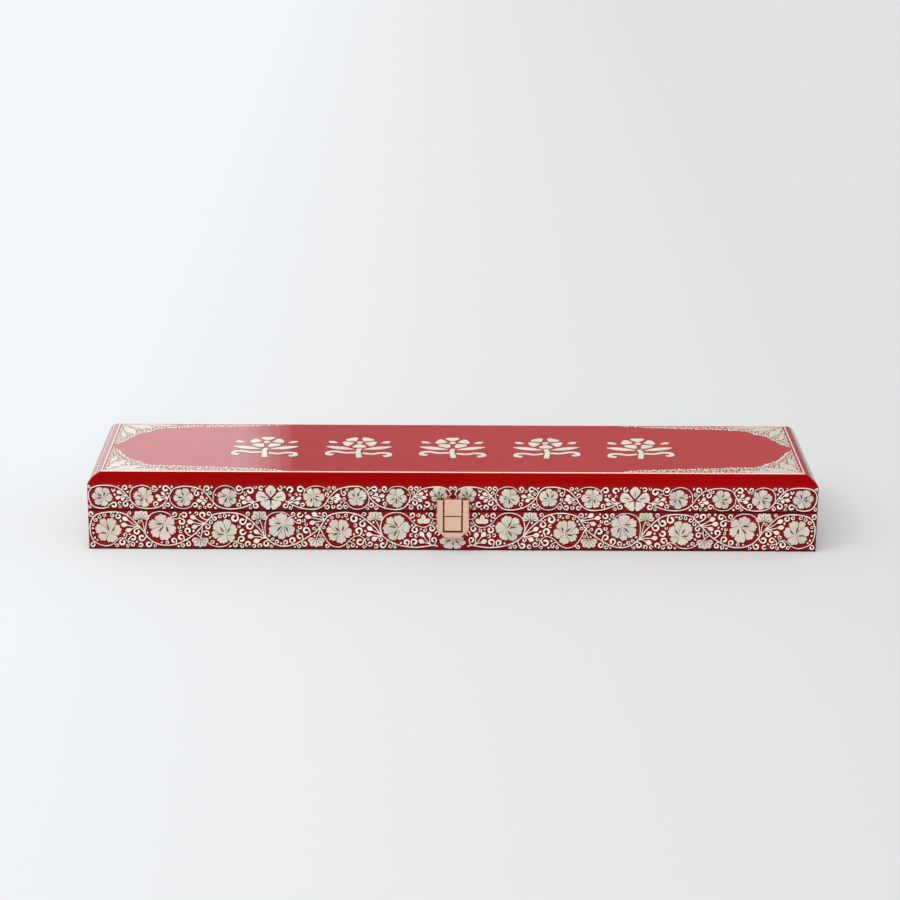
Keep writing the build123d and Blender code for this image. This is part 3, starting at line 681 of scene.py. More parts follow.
    def curl(self, x, y, r, start, spin, tail=None, turns=0.86):
        """A scroll: a thin stalk that swells as it winds round a dark eye to a round head."""
        hole = max(0.26, 0.24 * r)
        w0 = max(0.42, 0.40 * r)
        w1 = max(0.50, 0.62 * r)
        n = max(16, int(12 + r * 8))
        t = np.linspace(0, 1, n)
        ang = start + spin * 2 * math.pi * turns * t
        rc = (r - w0 / 2) * (1 - t) + (hole + w1 / 2) * t
        w = w0 + (w1 - w0) * np.minimum(1, t * 1.6) ** 1.2
        head = np.clip((t - 0.88) / 0.12, 0, 1)
        w = w * np.sqrt(np.maximum(1 - head ** 2 * 0.90, 0.05))
        line = np.stack([x + rc * np.cos(ang), y + rc * np.sin(ang)], 1)
        if tail is not None:
            tl = np.array(tail, float)
            p0 = line[0]
            gap = np.linalg.norm(tl - p0)
            if gap > 0.5:
                tan = line[1] - line[0]
                tan = tan / np.linalg.norm(tan)
                side = p0 - np.array([x, y])
                side = side / np.linalg.norm(side)
                mid = (tl + p0) / 2 + side * gap * 0.12 - tan * gap * 0.04
                pre = catmull([tl, mid, p0], 0.45)[:-1]
                line = np.vstack([pre, line])
                w = np.concatenate([np.linspace(0.55, w0, len(pre)), w])
                for q in pre[::2]:
                    self.circles.append((q[0], q[1], 0.3))
        self.ribbon(line, w, 0.158, block=False, tint=self.tint(0.62, 1.0))
        self.holes.append((x, y, hole + 0.06))
        self.circles.append((x, y, r))

    def dot(self, x, y, r):
        a = np.linspace(0, 2 * math.pi, 10, endpoint=False) + self.rng.rand()
        rr = r * (1 + 0.14 * np.sin(a * 2 + self.rng.rand() * 6))
        self.plate(np.stack([x + rr * np.cos(a), y + rr * np.sin(a)], 1), 0.150)
        self.circles.append((x, y, r))

    def comma(self, x, y, r):
        """A short drop, when there is no room for a scroll."""
        a = self.rng.rand() * 2 * math.pi
        u = np.array([math.cos(a), math.sin(a)])
        c = np.array([x, y])
        self.bud(c - u * r * 1.05, c + u * r * 1.05, r * 1.45, self.tint())

    def scroll_to(self, x, y, r, reach=3.6):
        """A curl whose stalk comes from the nearest vine, if that is near."""
        spin = 1 if self.rng.rand() < 0.5 else -1
        tail, start = None, self.rng.rand() * 2 * math.pi
        if self.stems:
            st = np.array(self.stems)
            dd = np.hypot(st[:, 0] - x, st[:, 1] - y)
            m = int(dd.argmin())
            if dd[m] < r + reach:
                tail = st[m]
                away = math.atan2(tail[1] - y, tail[0] - x)
                rc = r - max(0.42, 0.40 * r) / 2
                start = away + spin * math.acos(min(0.98, rc / max(dd[m], 1e-6)))
        self.curl(x, y, r, start, spin, tail)

    def scrolls(self, items, gap=0.46, lo=None, hi=None):
        """Curls at listed (x, y, r) that make room for what is already there."""
        for x, y, r in items:
            c = np.array(self.circles)
            best = None
            for dx in np.linspace(-1.1, 1.1, 9):
                for dy in np.linspace(-1.1, 1.1, 9):
                    px, py = x + dx, y + dy
                    free = (np.hypot(c[:, 0] - px, c[:, 1] - py) - c[:, 2]).min() - gap
                    if lo is not None:
                        free = min(free, py - lo - 0.05, hi - py - 0.05)
                    rr = min(r, free)
                    score = rr - 0.10 * math.hypot(dx, dy)
                    if best is None or score > best[0]:
                        best = (score, px, py, rr)
            _, px, py, rr = best
            if rr > 1.1:
                self.scroll_to(px, py, rr)
            elif rr > 0.6:
                self.comma(px, py, rr)

    # -------- filler
    def fill(self, x0, x1, y0, y1, inside=None, rmax=2.4, rmin=0.90, gap=0.56, cell=0.25, limit=4000, tails=True):
        xs = np.arange(x0 + cell / 2, x1, cell)
        ys = np.arange(y0 + cell / 2, y1, cell)
        gx, gy = np.meshgrid(xs, ys)
        d = np.minimum(np.minimum(gx - x0, x1 - gx), np.minimum(gy - y0, y1 - gy)) + gap * 0.9
        if inside is not None:
            d = np.minimum(d, inside(gx, gy) + gap * 0.9)

        def block(x, y, r):
            reach = r + rmax + gap + 1.0
            i0, i1 = np.searchsorted(xs, [x - reach, x + reach])
            j0, j1 = np.searchsorted(ys, [y - reach, y + reach])
            if i0 >= i1 or j0 >= j1:
                return
            sub = d[j0:j1, i0:i1]
            np.minimum(sub, np.hypot(gx[j0:j1, i0:i1] - x, gy[j0:j1, i0:i1] - y) - r, out=sub)

        for c in self.circles:
            block(*c)
        d = np.minimum(d, rmax + gap + 0.9)
        flat = d.ravel()
        for _ in range(limit):
            best = flat.max()
            if best - gap < rmin:
                break
            near = np.flatnonzero(flat > best - 0.12)
            k = near[self.rng.randint(len(near))]
            j, i = divmod(k, len(xs))
            r = min(flat[k] - gap, rmax * self.rng.uniform(0.82, 1.0))
            x, y = xs[i], ys[j]
            had = len(self.circles)
            if r > 1.15:
                self.scroll_to(x, y, r, 3.0 if tails else -1.0)
            elif r > 0.58:
                self.comma(x, y, r)
            else:
                self.dot(x, y, r)
            for c in self.circles[had:]:
                block(*c)


# ------------------------------------------------------------------ turning a drawing into meshes
def build(drawings, place, name, body, nodes, mat, outline_shadow_mat, top=SKIN, drop=(0.26, -0.38), grow=0.32):
    """drawings: list of (drawing, map of (x, y) to the face's own (u, v)); place: map of (u, v, h) to 3-D mm.
    drop and grow: how far the dark copy under each piece is set off, a painted shadow on its lower right, and how far
    it stands out round it as a dark outline."""
    v, f, tint = [], [], []
    lv, lf = [], []
    cv, cf = [], []
    hv, hf = [], []
    drop = np.array(drop)

    def add(store_v, store_f, rings, tint_value=None):
        # rings: list of (points, height) from the bottom up, one closed outline
        base = len(store_v)
        n = len(rings[0][0])
        for pts, h in rings:
            for q in pts:
                store_v.append(place(q[0], q[1], h))
                if tint_value is not None:
                    tint.append(tint_value)
        for k in range(len(rings) - 1):
            a, b = base + k * n, base + (k + 1) * n
            for i in range(n):
                j = (i + 1) % n
                store_f.append((a + i, a + j, b + j, b + i))
        store_f.append(tuple(base + (len(rings) - 1) * n + i for i in range(n)))
        store_f.append(tuple(base + i for i in reversed(range(n))))

    def strip(store_v, store_f, line, widths, h0, h1, edge, tint_value=None):
        nrm = normals2(line)
        base = len(store_v)
        n = len(line)
        hw = widths[:, None] / 2
        e = np.minimum(edge, widths * 0.3)[:, None]
        for pts, h in ((line + nrm * hw, h0), (line + nrm * (hw - e), h1),
                       (line - nrm * (hw - e), h1), (line - nrm * hw, h0)):
            for q in pts:
                store_v.append(place(q[0], q[1], h))
                if tint_value is not None:
                    tint.append(tint_value)
        for k in range(4):
            a, b = base + k * n, base + ((k + 1) % 4) * n
            for i in range(n - 1):
                store_f.append((a + i, a + i + 1, b + i + 1, b + i))
        store_f.append((base, base + n, base + 2 * n, base + 3 * n))
        store_f.append((base + 3 * n + n - 1, base + 2 * n + n - 1, base + n + n - 1, base + n - 1))

    k = top / SKIN
    eye = np.linspace(0, 2 * math.pi, 12, endpoint=False)
    for d, to in drawings:
        for line, widths, h, t in d.ribbons:
            line2 = np.array([to(*q) for q in line])
            strip(v, f, line2, widths, -0.02, h * k, 0.10, t)
            # dark copy of the ribbon, set off by drop: an outline and a painted shadow
            strip(lv, lf, line2 + drop, widths + 2 * grow, -0.03, 0.018 + 0.004 * (len(lv) % 7) / 7, 0.0)
        for out, h, t in d.plates:
            out2 = np.array([to(*q) for q in out])
            c = out2.mean(0)
            pull = c - out2
            dist = np.maximum(np.linalg.norm(pull, axis=1), 1e-6)[:, None]
            add(v, f, [(out2, -0.02), (out2 + pull / dist * np.minimum(0.10, dist * 0.25), h * k)], t)
            # dark copy of the plate, set off by drop: an outline and a painted shadow
            wide = out2 - pull / dist * grow + drop
            add(lv, lf, [(wide, -0.03), (wide, 0.010 + 0.004 * (len(lv) % 7) / 7)])
        for x, y, r in d.holes:
            c = np.array(to(x, y))
            ring = c + np.stack([np.cos(eye), np.sin(eye)], 1) * r
            add(lv, lf, [(ring, -0.03), (ring, 0.026)])
        for line, widths in d.cuts:
            strip(cv, cf, np.array([to(*q) for q in line]), widths, 0.150 * k, 0.1965 * k, 0.02)
        for line, widths in d.hairs:
            strip(hv, hf, np.array([to(*q) for q in line]), widths, 0.150 * k, 0.1955 * k, 0.02)

    def obj(nm, vv, ff, m, tints=None):
        me = bpy.data.meshes.new(nm)
        me.from_pydata([tuple(c * MM for c in q) for q in vv], [], ff)
        if tints is not None:
            ca = me.color_attributes.new("tint", "FLOAT_COLOR", "POINT")
            arr = np.ones((len(vv), 4), np.float32)
            arr[:, :3] = np.array(tints)
            ca.data.foreach_set("color", arr.ravel())
        bm = bmesh.new()
        bm.from_mesh(me)
        bmesh.ops.recalc_face_normals(bm, faces=bm.faces)
        bm.to_mesh(me)
        bm.free()
        me.materials.append(m)
        o = bpy.data.objects.new(nm, me)
        bpy.context.scene.collection.objects.link(o)
        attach(o, body)
        return o

    main = obj(name + "_pearl", v, f, mat, tint)
    if nodes:
        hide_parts(*nodes)
    obj(name + "_outlines_and_shadows", lv, lf, outline_shadow_mat)
    if cv:
        obj(name + "_engraving", cv, cf, CUT)
    if hv:
        obj(name + "_hairlines", hv, hf, FINE)
    print(name, len(v), "points")
    return main


# ------------------------------------------------------------------ the bands: left half, X from -260 to 0
def q(i, x, y):
    """Squared-paper units of the front drawing (three sheets side by side) to mm."""
    return (-262.0 + 87.333 * i + x / 18.0, 50.0 - y / 18.0)


def path(i, *pts):
    return [q(i, *p) for p in pts]


def places(i, *items):
    return [q(i, x, y) + (r / 18.0,) for x, y, r in items]


# flowers that lie across the middle of the front and the back are drawn once, not in mirrored halves
MIDDLE = Drawing(41, (-20.0, 20.0, 0.75, 28.5))
MIDDLE.blossom(0.0, 6.3, 9.6, (0.02, 0.30), 6, 0.42, squash=0.60, pink=0.62)


def base_band(seed=3, stop=0.0):
    d = Drawing(seed, (-259.5, 40.0, 0.75, 28.5))
    for i, x, y, r, lean, pet, turn in ((0, 292, 650, 9.4, (0.10, -0.24), 6, 0.5), (0, 990, 607, 9.9, (0.22, 0.26), 6, 0.1),
                                        (1, 205, 660, 9.2, (0.12, -0.26), 6, 0.8), (1, 948, 588, 9.8, (0.14, 0.20), 6, 0.0),
                                        (2, 112, 648, 9.2, (0.16, -0.20), 6, 0.4), (2, 848, 610, 9.6, (0.22, -0.02), 6, 0.6)):
        cx, cy = q(i, x, y)
        d.blossom(cx, cy, r, lean, pet, turn)
    for k in (-0.62, -0.3, 0.0):
        d.circles.append((9.6 * k, 6.3, 9.6 * 0.60 * (1.08 - 0.35 * abs(k))))
    d.circles.append((-8.6, 6.3, 1.9))
    # small three-petal flower beside the latch
    x, y = q(2, 1195, 500)
    for a, ln in ((196, 4.6), (92, 5.2), (18, 5.0)):
        r = math.radians(a)
        d.petal((x, y - 2.2), (x + ln * math.cos(r), y - 1.2 + ln * abs(math.sin(r)) + 0.6), 3.7, pointed=0.1, tint=d.tint(0.45, 0.7), veins=1)
    # the vine
    main = (path(0, (62, 700), (60, 590), (95, 490), (180, 420), (320, 388), (450, 398), (560, 460), (660, 560),
                 (745, 665), (800, 745), (880, 812), (1000, 850), (1130, 842), (1260, 792), (1390, 705), (1500, 590))
            + path(1, (8, 500), (100, 420), (270, 391), (420, 420), (540, 500), (650, 610), (735, 725), (830, 815),
                   (960, 857), (1110, 830), (1260, 745), (1390, 650), (1462, 560), (1535, 455))
            + path(2, (60, 398), (200, 378), (330, 408), (450, 488), (575, 600), (665, 705), (765, 785), (900, 840),
                   (1080, 866), (1225, 852), (1330, 836), (1380, 850)))
    d.stem(main, 1.05)
    # loops round the flowers
    d.stem(path(0, (62, 700), (92, 780), (165, 838), (262, 862), (345, 838), (402, 785), (448, 752), (505, 768), (545, 815)), 0.85, 0.65)
    d.stem(path(0, (762, 690), (780, 560), (812, 470), (880, 408), (985, 391), (1075, 425), (1130, 485), (1190, 490), (1212, 450)), 0.85, 0.6)
    d.stem(path(0, (1420, 690), (1500, 762), (1560, 802)) + path(1, (40, 845), (130, 868), (230, 852), (290, 805), (350, 788), (405, 828)), 0.85, 0.65)
    d.stem(path(1, (742, 735), (732, 620), (742, 520), (790, 435), (870, 394), (975, 394), (1045, 440), (1100, 500)), 0.85, 0.6)
    d.stem(path(1, (1440, 610), (1490, 720), (1540, 800)) + path(2, (30, 852), (110, 866), (190, 830), (250, 768), (320, 720), (385, 716), (440, 765), (460, 830)), 0.85, 0.65)
    d.stem(path(2, (668, 715), (645, 600), (665, 500), (730, 420), (830, 385), (930, 400), (1010, 465), (1085, 550), (1185, 592), (1270, 565), (1325, 480)), 0.9, 0.7)
    # fans on stalks, buds
    for i, x, y, up, j in ((0, 718, 497, 1, (755, 655)), (1, 665, 492, 1, (715, 690)), (2, 578, 495, 1, (650, 660)),
                           (0, 1470, 757, -1, (1500, 610)), (1, 1390, 750, -1, (1440, 605)),):
        p = q(i, x, y)
        d.palmette(p[0], p[1], 6.3, up)
        d.stem([q(i, *j), ((p[0] + q(i, *j)[0]) / 2 + 0.4, (p[1] + q(i, *j)[1]) / 2), p], 0.9, 0.7)
    for i, j, tips in ((0, (700, 600), ((475, 475), (455, 572), (512, 662))), (0, (1545, 548), ((1345, 452), (1303, 530), (1362, 612))),
                       (1, (745, 748), ((585, 640), (505, 722), (582, 800))), (1, (1500, 495), ((1335, 405), (1245, 452), (1303, 548))),
                       (2, (665, 708), ((470, 590), (455, 690), (528, 768))), (2, (1295, 838), ((1150, 655), (1262, 655), (1132, 768)))):
        d.buds(q(i, *j), [q(i, *t) for t in tips], 3.5, 5.3)
    lo, hi = BASE_BAND
    d.scrolls(places(0, (330, 455, 44), (430, 462, 38), (95, 420, 38), (657, 660, 44), (720, 752, 46), (608, 752, 40), (478, 808, 44),
                     (808, 838, 42), (1047, 808, 38), (1133, 800, 38), (1230, 742, 44), (1312, 652, 44), (1238, 530, 46), (1148, 432, 34),
                     (1272, 440, 40), (1505, 432, 44), (600, 838, 32), (703, 846, 34), (1318, 832, 34), (245, 445, 28), (508, 712, 28),
                     (97, 668, 27), (1222, 672, 24), (1455, 702, 27), (955, 828, 30), (560, 412, 24), (100, 838, 34), (420, 852, 26),
                     (100, 575, 20), (800, 582, 20)), lo=lo, hi=hi)
    d.scrolls(places(1, (328, 466, 52), (432, 520, 48), (545, 582, 50), (446, 665, 46), (433, 752, 44), (368, 822, 44), (213, 446, 38),
                     (30, 412, 38), (510, 828, 42), (757, 815, 42), (982, 805, 42), (1080, 780, 46), (1178, 722, 44), (1262, 640, 48),
                     (1185, 432, 42), (880, 800, 34), (1170, 520, 34), (1490, 420, 36), (1442, 712, 30), (1238, 826, 38), (515, 410, 30),
                     (1085, 418, 30), (1182, 602, 28), (1535, 842, 28), (400, 592, 22), (1360, 615, 22), (1225, 505, 24)), lo=lo, hi=hi)
    d.scrolls(places(2, (305, 477, 52), (366, 645, 50), (385, 795, 50), (415, 555, 46), (90, 445, 38), (675, 838, 42), (960, 797, 44),
                     (1075, 785, 46), (1085, 628, 44), (1297, 600, 42), (1350, 768, 42), (1053, 430, 38), (510, 822, 36), (205, 418, 30),
                     (415, 410, 32), (1292, 420, 34), (325, 570, 28), (287, 702, 28), (287, 840, 30), (1040, 700, 28), (770, 858, 26),
                     (790, 440, 26), (1100, 520, 24), (1320, 540, 20)), lo=lo, hi=hi)
    d.fill(-259.4, stop, *BASE_BAND, rmax=2.2)
    return d


def lid_band(seed=5, stop=0.0):
    d = Drawing(seed, (-259.5, 40.0, 29.75, 48.0))
    for i, x, y, r, lean, turn in ((0, 228, 195, 7.2, (0.10, -0.14), 0.4), (0, 755, 203, 7.3, (0.10, 0.12), 0.2),
                                   (0, 1265, 202, 7.0, (0.16, -0.02), 0.7), (1, 255, 205, 7.2, (0.08, 0.22), 0.1),
                                   (1, 1365, 198, 7.3, (-0.12, 0.18), 0.5), (2, 342, 188, 7.0, (-0.08, -0.16), 0.9),
                                   (2, 850, 196, 7.3, (0.0, 0.14), 0.3)):
        cx, cy = q(i, x, y)
        d.blossom(cx, cy, r, lean, 6 if i != 2 else 5, turn)
    x, y = q(2, 1390, 150)
    d.blossom(x, y - 0.4, 6.4, (0.0, -0.25), 6, 0.2)
    x, y = q(1, 812, 212)
    d.iris(x, y, 9.7)
    d.stem(path(0, (300, 340), (200, 353), (105, 320), (56, 225), (60, 130), (130, 50), (250, 22), (390, 44), (495, 125), (570, 215),
                (625, 290), (710, 342), (850, 353), (965, 325), (1045, 250), (1092, 160), (1155, 78), (1275, 36),
                (1420, 58), (1525, 118)) + path(1, (20, 190), (70, 262), (150, 328), (260, 354), (400, 347), (510, 314), (600, 262), (665, 238)), 0.92)
    d.stem(path(0, (585, 215), (590, 130), (650, 55), (745, 26), (830, 62), (862, 118), (920, 120), (948, 70)), 0.78, 0.6)
    d.stem(path(0, (1090, 190), (1105, 272), (1180, 338), (1290, 352), (1370, 322)), 0.78, 0.55)
    d.stem(path(1, (75, 250), (82, 140), (150, 55), (240, 28), (330, 68), (375, 140), (435, 145), (455, 95)), 0.78, 0.6)
    d.stem(path(1, (1000, 245), (1090, 297), (1230, 347), (1390, 352), (1500, 292), (1560, 200)) + path(2, (60, 118), (150, 58), (270, 26), (390, 32),
                (465, 110), (500, 180), (570, 262), (680, 327), (820, 355), (940, 332), (1008, 255), (1085, 165), (1165, 80), (1280, 36), (1420, 30), (1510, 88), (1550, 150)), 0.92)
    d.stem(path(1, (1240, 230), (1240, 130), (1305, 50), (1400, 24), (1490, 48), (1548, 110)), 0.78, 0.6)
    d.stem(path(2, (500, 190), (488, 272), (420, 337), (330, 352), (250, 318), (205, 262), (165, 300)), 0.78, 0.6)
    d.stem(path(2, (1010, 240), (1028, 160), (985, 82), (900, 36), (800, 46), (735, 108), (690, 122)), 0.78, 0.6)
    for i, j, tips in ((0, (540, 180), ((412, 122), (395, 218), (470, 243))), (0, (1060, 215), ((985, 128), (905, 180), (930, 240))),
                       (0, (1565, 250), ((1478, 185), (1432, 245), (1500, 292))), (1, (600, 262), ((505, 190), (415, 190), (438, 268))),
                       (1, (1030, 262), ((1112, 188), (1205, 200), (1185, 272))),
                       (2, (5, 205), ((125, 158), (145, 215), (100, 262))), (2, (535, 190), ((612, 138), (700, 168), (645, 240))),
                       (2, (1075, 172), ((1195, 130), (1235, 195), (1180, 248)))):
        d.buds(q(i, *j), [q(i, *t) for t in tips], 2.8, 4.5)
    x, y = q(0, 372, 140)
    d.sprout(x, y, 3.2, math.pi / 2)
    x, y = q(2, 1225, 130)
    d.sprout(x, y, 3.0, math.pi / 2)
    lo, hi = LID_BAND
    d.scrolls(places(0, (900, 70, 42), (1040, 78, 44), (375, 300, 42), (525, 295, 40), (1547, 70, 40), (1437, 150, 36), (510, 55, 36),
                     (1080, 280, 38), (910, 295, 36), (1395, 313, 36), (595, 55, 30), (420, 45, 28), (605, 322, 28), (1390, 92, 28),
                     (1120, 58, 24), (1460, 50, 26), (455, 282, 24), (1020, 332, 26), (1455, 322, 24), (78, 215, 20), (85, 328, 26),
                     (1075, 140, 22), (550, 232, 22), (75, 60, 30)), lo=lo, hi=hi)
    d.scrolls(places(1, (405, 90, 42), (550, 105, 48), (670, 80, 42), (945, 75, 46), (1060, 92, 46), (1190, 85, 44), (405, 300, 40),
                     (620, 297, 38), (1000, 300, 36), (28, 312, 34), (40, 52, 32), (30, 142, 30), (1230, 290, 30), (1520, 315, 32),
                     (1532, 165, 30), (730, 45, 24), (1075, 158, 24), (1137, 160, 22), (500, 300, 24), (95, 165, 24)), lo=lo, hi=hi)
    d.scrolls(places(2, (215, 302, 46), (582, 80, 44), (700, 68, 44), (1085, 240, 40), (1240, 282, 44), (70, 50, 38), (118, 320, 36),
                     (500, 55, 34), (520, 275, 34), (597, 322, 38), (1132, 315, 38), (175, 140, 34), (172, 50, 30), (700, 278, 28),
                     (1030, 50, 32), (1100, 60, 32), (1175, 50, 30), (1040, 325, 32), (470, 325, 28), (38, 320, 28), (15, 262, 24),
                     (235, 75, 22), (1000, 172, 22), (1053, 130, 24), (1225, 332, 26), (1300, 332, 24), (1530, 60, 26)), lo=lo, hi=hi)
    d.fill(-259.4, stop, *LID_BAND, rmax=1.9)
    return d


BASE = base_band()
LID = lid_band()


def keep(d, x0, x1, seed, band, rmax, hub=None):
    """The part of a drawing between x0 and x1, with its open edge filled again.
    hub: (x, y, r) of a flower on the open edge, left out here and drawn once in the middle."""
    out = Drawing(seed)
    if hub is not None:
        out.circles.append((hub[0], hub[1], hub[2] * 1.06))

    def on_hub(pts):
        return hub is not None and np.hypot(pts[:, 0] - hub[0], pts[:, 1] - hub[1]).min() < hub[2] * 0.92

    for line, w, h, t in d.ribbons:
        if line[:, 0].min() > x0 and line[:, 0].max() < x1:
            out.ribbon(line, w, h, tint=t)
            continue
        m = (line[:, 0] > x0) & (line[:, 0] < x1)
        if m.sum() > 8 and len(line) > 40:
            idx = np.flatnonzero(m)
            cutp = np.flatnonzero(np.diff(idx) > 1)
            for seg in np.split(idx, cutp + 1):
                if len(seg) > 6:
                    out.ribbon(line[seg], w[seg], h, tint=t, stem=True)
    for o, h, t in d.plates:
        if o[:, 0].min() > x0 and o[:, 0].max() < x1 and not on_hub(o):
            out.plate(o, h, t)
            c = o.mean(0)
            out.circles.append((c[0], c[1], 0.9 * float(np.sqrt(((o - c) ** 2).sum(1)).mean())))
    for line, w in d.cuts:
        if line[:, 0].min() > x0 and line[:, 0].max() < x1 and not on_hub(line):
            out.cut(line, w)
    for line, w in d.hairs:
        if line[:, 0].min() > x0 and line[:, 0].max() < x1 and not on_hub(line):
            out.hair(line, w)
    for x, y, r in d.holes:
        if x0 + 1.0 < x < x1 - 1.0:
            out.holes.append((x, y, r))
            out.circles.append((x, y, r + 0.6))
    out.fill(x0, x1, *band, rmax=rmax)
    return out


END_BASE = keep(BASE, -259.4, -191.0, 11, BASE_BAND, 2.3)
END_LID = keep(LID, -259.4, -191.0, 12, LID_BAND, 2.0, hub=(-191.2, 38.8, 7.0))
END_MIDDLE = Drawing(42)
END_MIDDLE.blossom(0.0, 38.8, 7.0, (0.12, 0.10), 6, 0.3)

same = lambda x, y: (x, y)
flip = lambda x, y: (-x, y)


def front(u, w, h):
    return (u, -YO - h, w)


def back(u, w, h):
    return (-u, YO + h, w)


def left_end(u, w, h):
    return (-XO - h, -u, w)


def right_end(u, w, h):
    return (XO + h, u, w)


def shift(sign):
    # the kept 68.4 mm run from the outer edge of an end to its middle
    return lambda x, y: (sign * (x + 259.4 - 68.2), y)


build([(BASE, same), (BASE, flip), (MIDDLE, same)], front, "base_front", "base", ["base_front_inlay"], PEARL, LINE)
build([(LID, same), (LID, flip)], front, "lid_front", "lid", ["lid_front_inlay"], PEARL, LINE)
build([(BASE, same), (BASE, flip), (MIDDLE, same)], back, "base_back", "base", ["base_back_inlay"], PEARL, LINE)
build([(LID, same), (LID, flip)], back, "lid_back", "lid", ["lid_back_inlay"], PEARL, LINE)
for nm, pl in (("left", left_end), ("right", right_end)):
    build([(END_BASE, shift(1)), (END_BASE, shift(-1))], pl, "base_" + nm, "base", ["base_" + nm + "_inlay"], PEARL, LINE)
    build([(END_LID, shift(1)), (END_LID, shift(-1)), (END_MIDDLE, same)], pl, "lid_" + nm, "lid", ["lid_" + nm + "_inlay"], PEARL, LINE)


# ------------------------------------------------------------------ the top
def field_distance(poly):
    p = np.array(poly, float)

    def dist(gx, gy):
        inside = np.zeros(gx.shape, bool)
        best = np.full(gx.shape, 1e9)
        for a, b in zip(p, np.roll(p, -1, 0)):
            cond = (a[1] > gy) != (b[1] > gy)
            with np.errstate(divide="ignore", invalid="ignore"):
                xc = (b[0] - a[0]) * (gy - a[1]) / (b[1] - a[1] if b[1] != a[1] else 1e-9) + a[0]
            inside ^= cond & (gx < xc)
            ab = b - a
            t = np.clip(((gx - a[0]) * ab[0] + (gy - a[1]) * ab[1]) / (ab @ ab), 0, 1)
            best = np.minimum(best, np.hypot(gx - a[0] - t * ab[0], gy - a[1] - t * ab[1]))
        return np.where(inside, best, -best)
    return dist


BACK_FIELD = [(249.2, 4.5), (246.0, 9.0), (240.0, 21.5), (234.5, 32.5), (227.0, 39.0), (220.0, 47.0),
              (205.0, 50.5), (180.0, 52.5), (150.0, 55.0), (125.0, 58.2), (249.2, 58.2)]
FRONT_FIELD = [(249.2, 1.5), (245.5, -7.0), (238.5, -22.0), (233.0, -31.0), (226.0, -38.0), (220.5, -44.5),
               (200.0, -47.0), (165.0, -50.5), (132.0, -54.5), (117.0, -58.2), (249.2, -58.2)]


def corner(field, seed, leaf, gap):
    """Dense pale field: large leaves by the corner, small leaves and scrolls round them, scalloped inner edge."""
    d = Drawing(seed)
    p = np.array(field[:-1])
    line = catmull(p, 0.5)
    step = np.concatenate([[0], np.cumsum(np.hypot(*np.diff(line, axis=0).T))])
    sgn = 1 if field[-1][1] > 0 else -1
    nrm = normals2(line)
    cen = np.array([249.2, 58.2 * sgn])
    for bx, by, tx, ty, w in leaf:
        d.petal((bx, by), (tx, ty), w, height=0.18, pointed=0.3, tint=d.tint(0.55, 0.8), veins=3)
    s = 1.0
    while s < step[-1] - 1.0:
        x = np.interp(s, step, line[:, 0])
        y = np.interp(s, step, line[:, 1])
        k = int(np.searchsorted(step, s))
        n = nrm[min(k, len(nrm) - 1)]
        if np.dot(cen - (x, y), n) < 0:
            n = -n
        room = 58.2 - abs(y)
        if d.rng.rand() < 0.42:
            # a bead
            r = min(d.rng.uniform(0.75, 1.25), max(0.5, room))
            c = np.array([x, y]) + n * r * d.rng.uniform(0.0, 0.8)
            if c[0] + r < 249.2:
                d.dot(c[0], c[1], r)
            s += 2 * r + 0.3
        else:
            # a small leaf that leans out of the field
            ln = min(d.rng.uniform(3.0, 5.2), 1.6 + room)
            w = ln * d.rng.uniform(0.44, 0.56)
            lean = d.rng.uniform(-0.7, 0.7)
            u = np.array([math.cos(lean) * -n[0] - math.sin(lean) * -n[1], math.sin(lean) * -n[0] + math.cos(lean) * -n[1]])
            c = np.array([x, y]) - u * ln * d.rng.uniform(0.45, 0.70)
            tip = c + u * ln
            if max(c[0], tip[0]) + w / 2 < 249.0 and max(abs(c[1]), abs(tip[1])) + w * 0.3 < 58.2:
                d.petal(c, tip, w, height=0.176, pointed=0.3, veins=1)
            s += w + 0.35
    xs = [c[0] for c in field]
    ys = [c[1] for c in field]
    far = field_distance(field)
    # small leaves that lean along the field
    for _ in range(900):
        x = d.rng.uniform(min(xs), 248.4)
        y = d.rng.uniform(min(ys), max(ys))
        ln = d.rng.uniform(4.0, 7.5)
        w = ln * d.rng.uniform(0.38, 0.48)
        if far(np.array([[x]]), np.array([[y]]))[0, 0] < w * 0.55:
            continue
        a = d.rng.uniform(-0.7, 0.7) + (0.0 if d.rng.rand() < 0.7 else 1.4)
        u = np.array([math.cos(a), math.sin(a)])
        pts = [np.array([x, y]) + u * ln * k for k in (-0.36, -0.1, 0.18, 0.38)]
        rad = (w * 0.34, w * 0.5, w * 0.5, w * 0.30)
        c = np.array(d.circles)
        if all((np.hypot(c[:, 0] - q[0], c[:, 1] - q[1]) - c[:, 2]).min() > g + 0.16
               and far(np.array([[q[0]]]), np.array([[q[1]]]))[0, 0] > g * 0.8 for q, g in zip(pts, rad)):
            d.petal(pts[0] - u * ln * 0.14, pts[0] + u * ln * 0.86, w, height=0.172, pointed=0.5, block=False, veins=1)
            d.circles.extend([(q[0], q[1], g) for q, g in zip(pts, rad)])
    # the thin ends along the long edges show more lacquer than the corners
    for x0, x1, more in ((213.0, max(xs), 0.0), (min(xs), 213.0, 0.16)):
        d.fill(x0, x1, min(ys), max(ys), inside=far, rmax=2.0, rmin=0.42 + more / 2, gap=gap + more, cell=0.22, limit=3600, tails=False)
    return d


LEAVES_BACK = [(247, 57, 224, 48.5, 9.0), (247, 54, 237, 33, 8.0), (243, 57.2, 208, 55.6, 4.6), (246.8, 40, 243.5, 24, 4.6)]
LEAVES_FRONT = [(247, -57, 223, -47.0, 9.5), (247, -54, 236, -33, 8.5), (243, -57, 206, -53.6, 5.4), (246.8, -40, 243.5, -24, 4.6)]
CB = corner(BACK_FIELD, 21, LEAVES_BACK, 0.27)
CF = corner(FRONT_FIELD, 22, LEAVES_FRONT, 0.34)


def top(u, w, h):
    return (u, w, ZO + h)


build([(CB, same), (CB, flip), (CF, same), (CF, flip)], top, "lid_corner", "lid", ["lid_corner_inlay"], PEARL_TOP, SHADE,
      drop=(0.20, -0.42), grow=0.18)


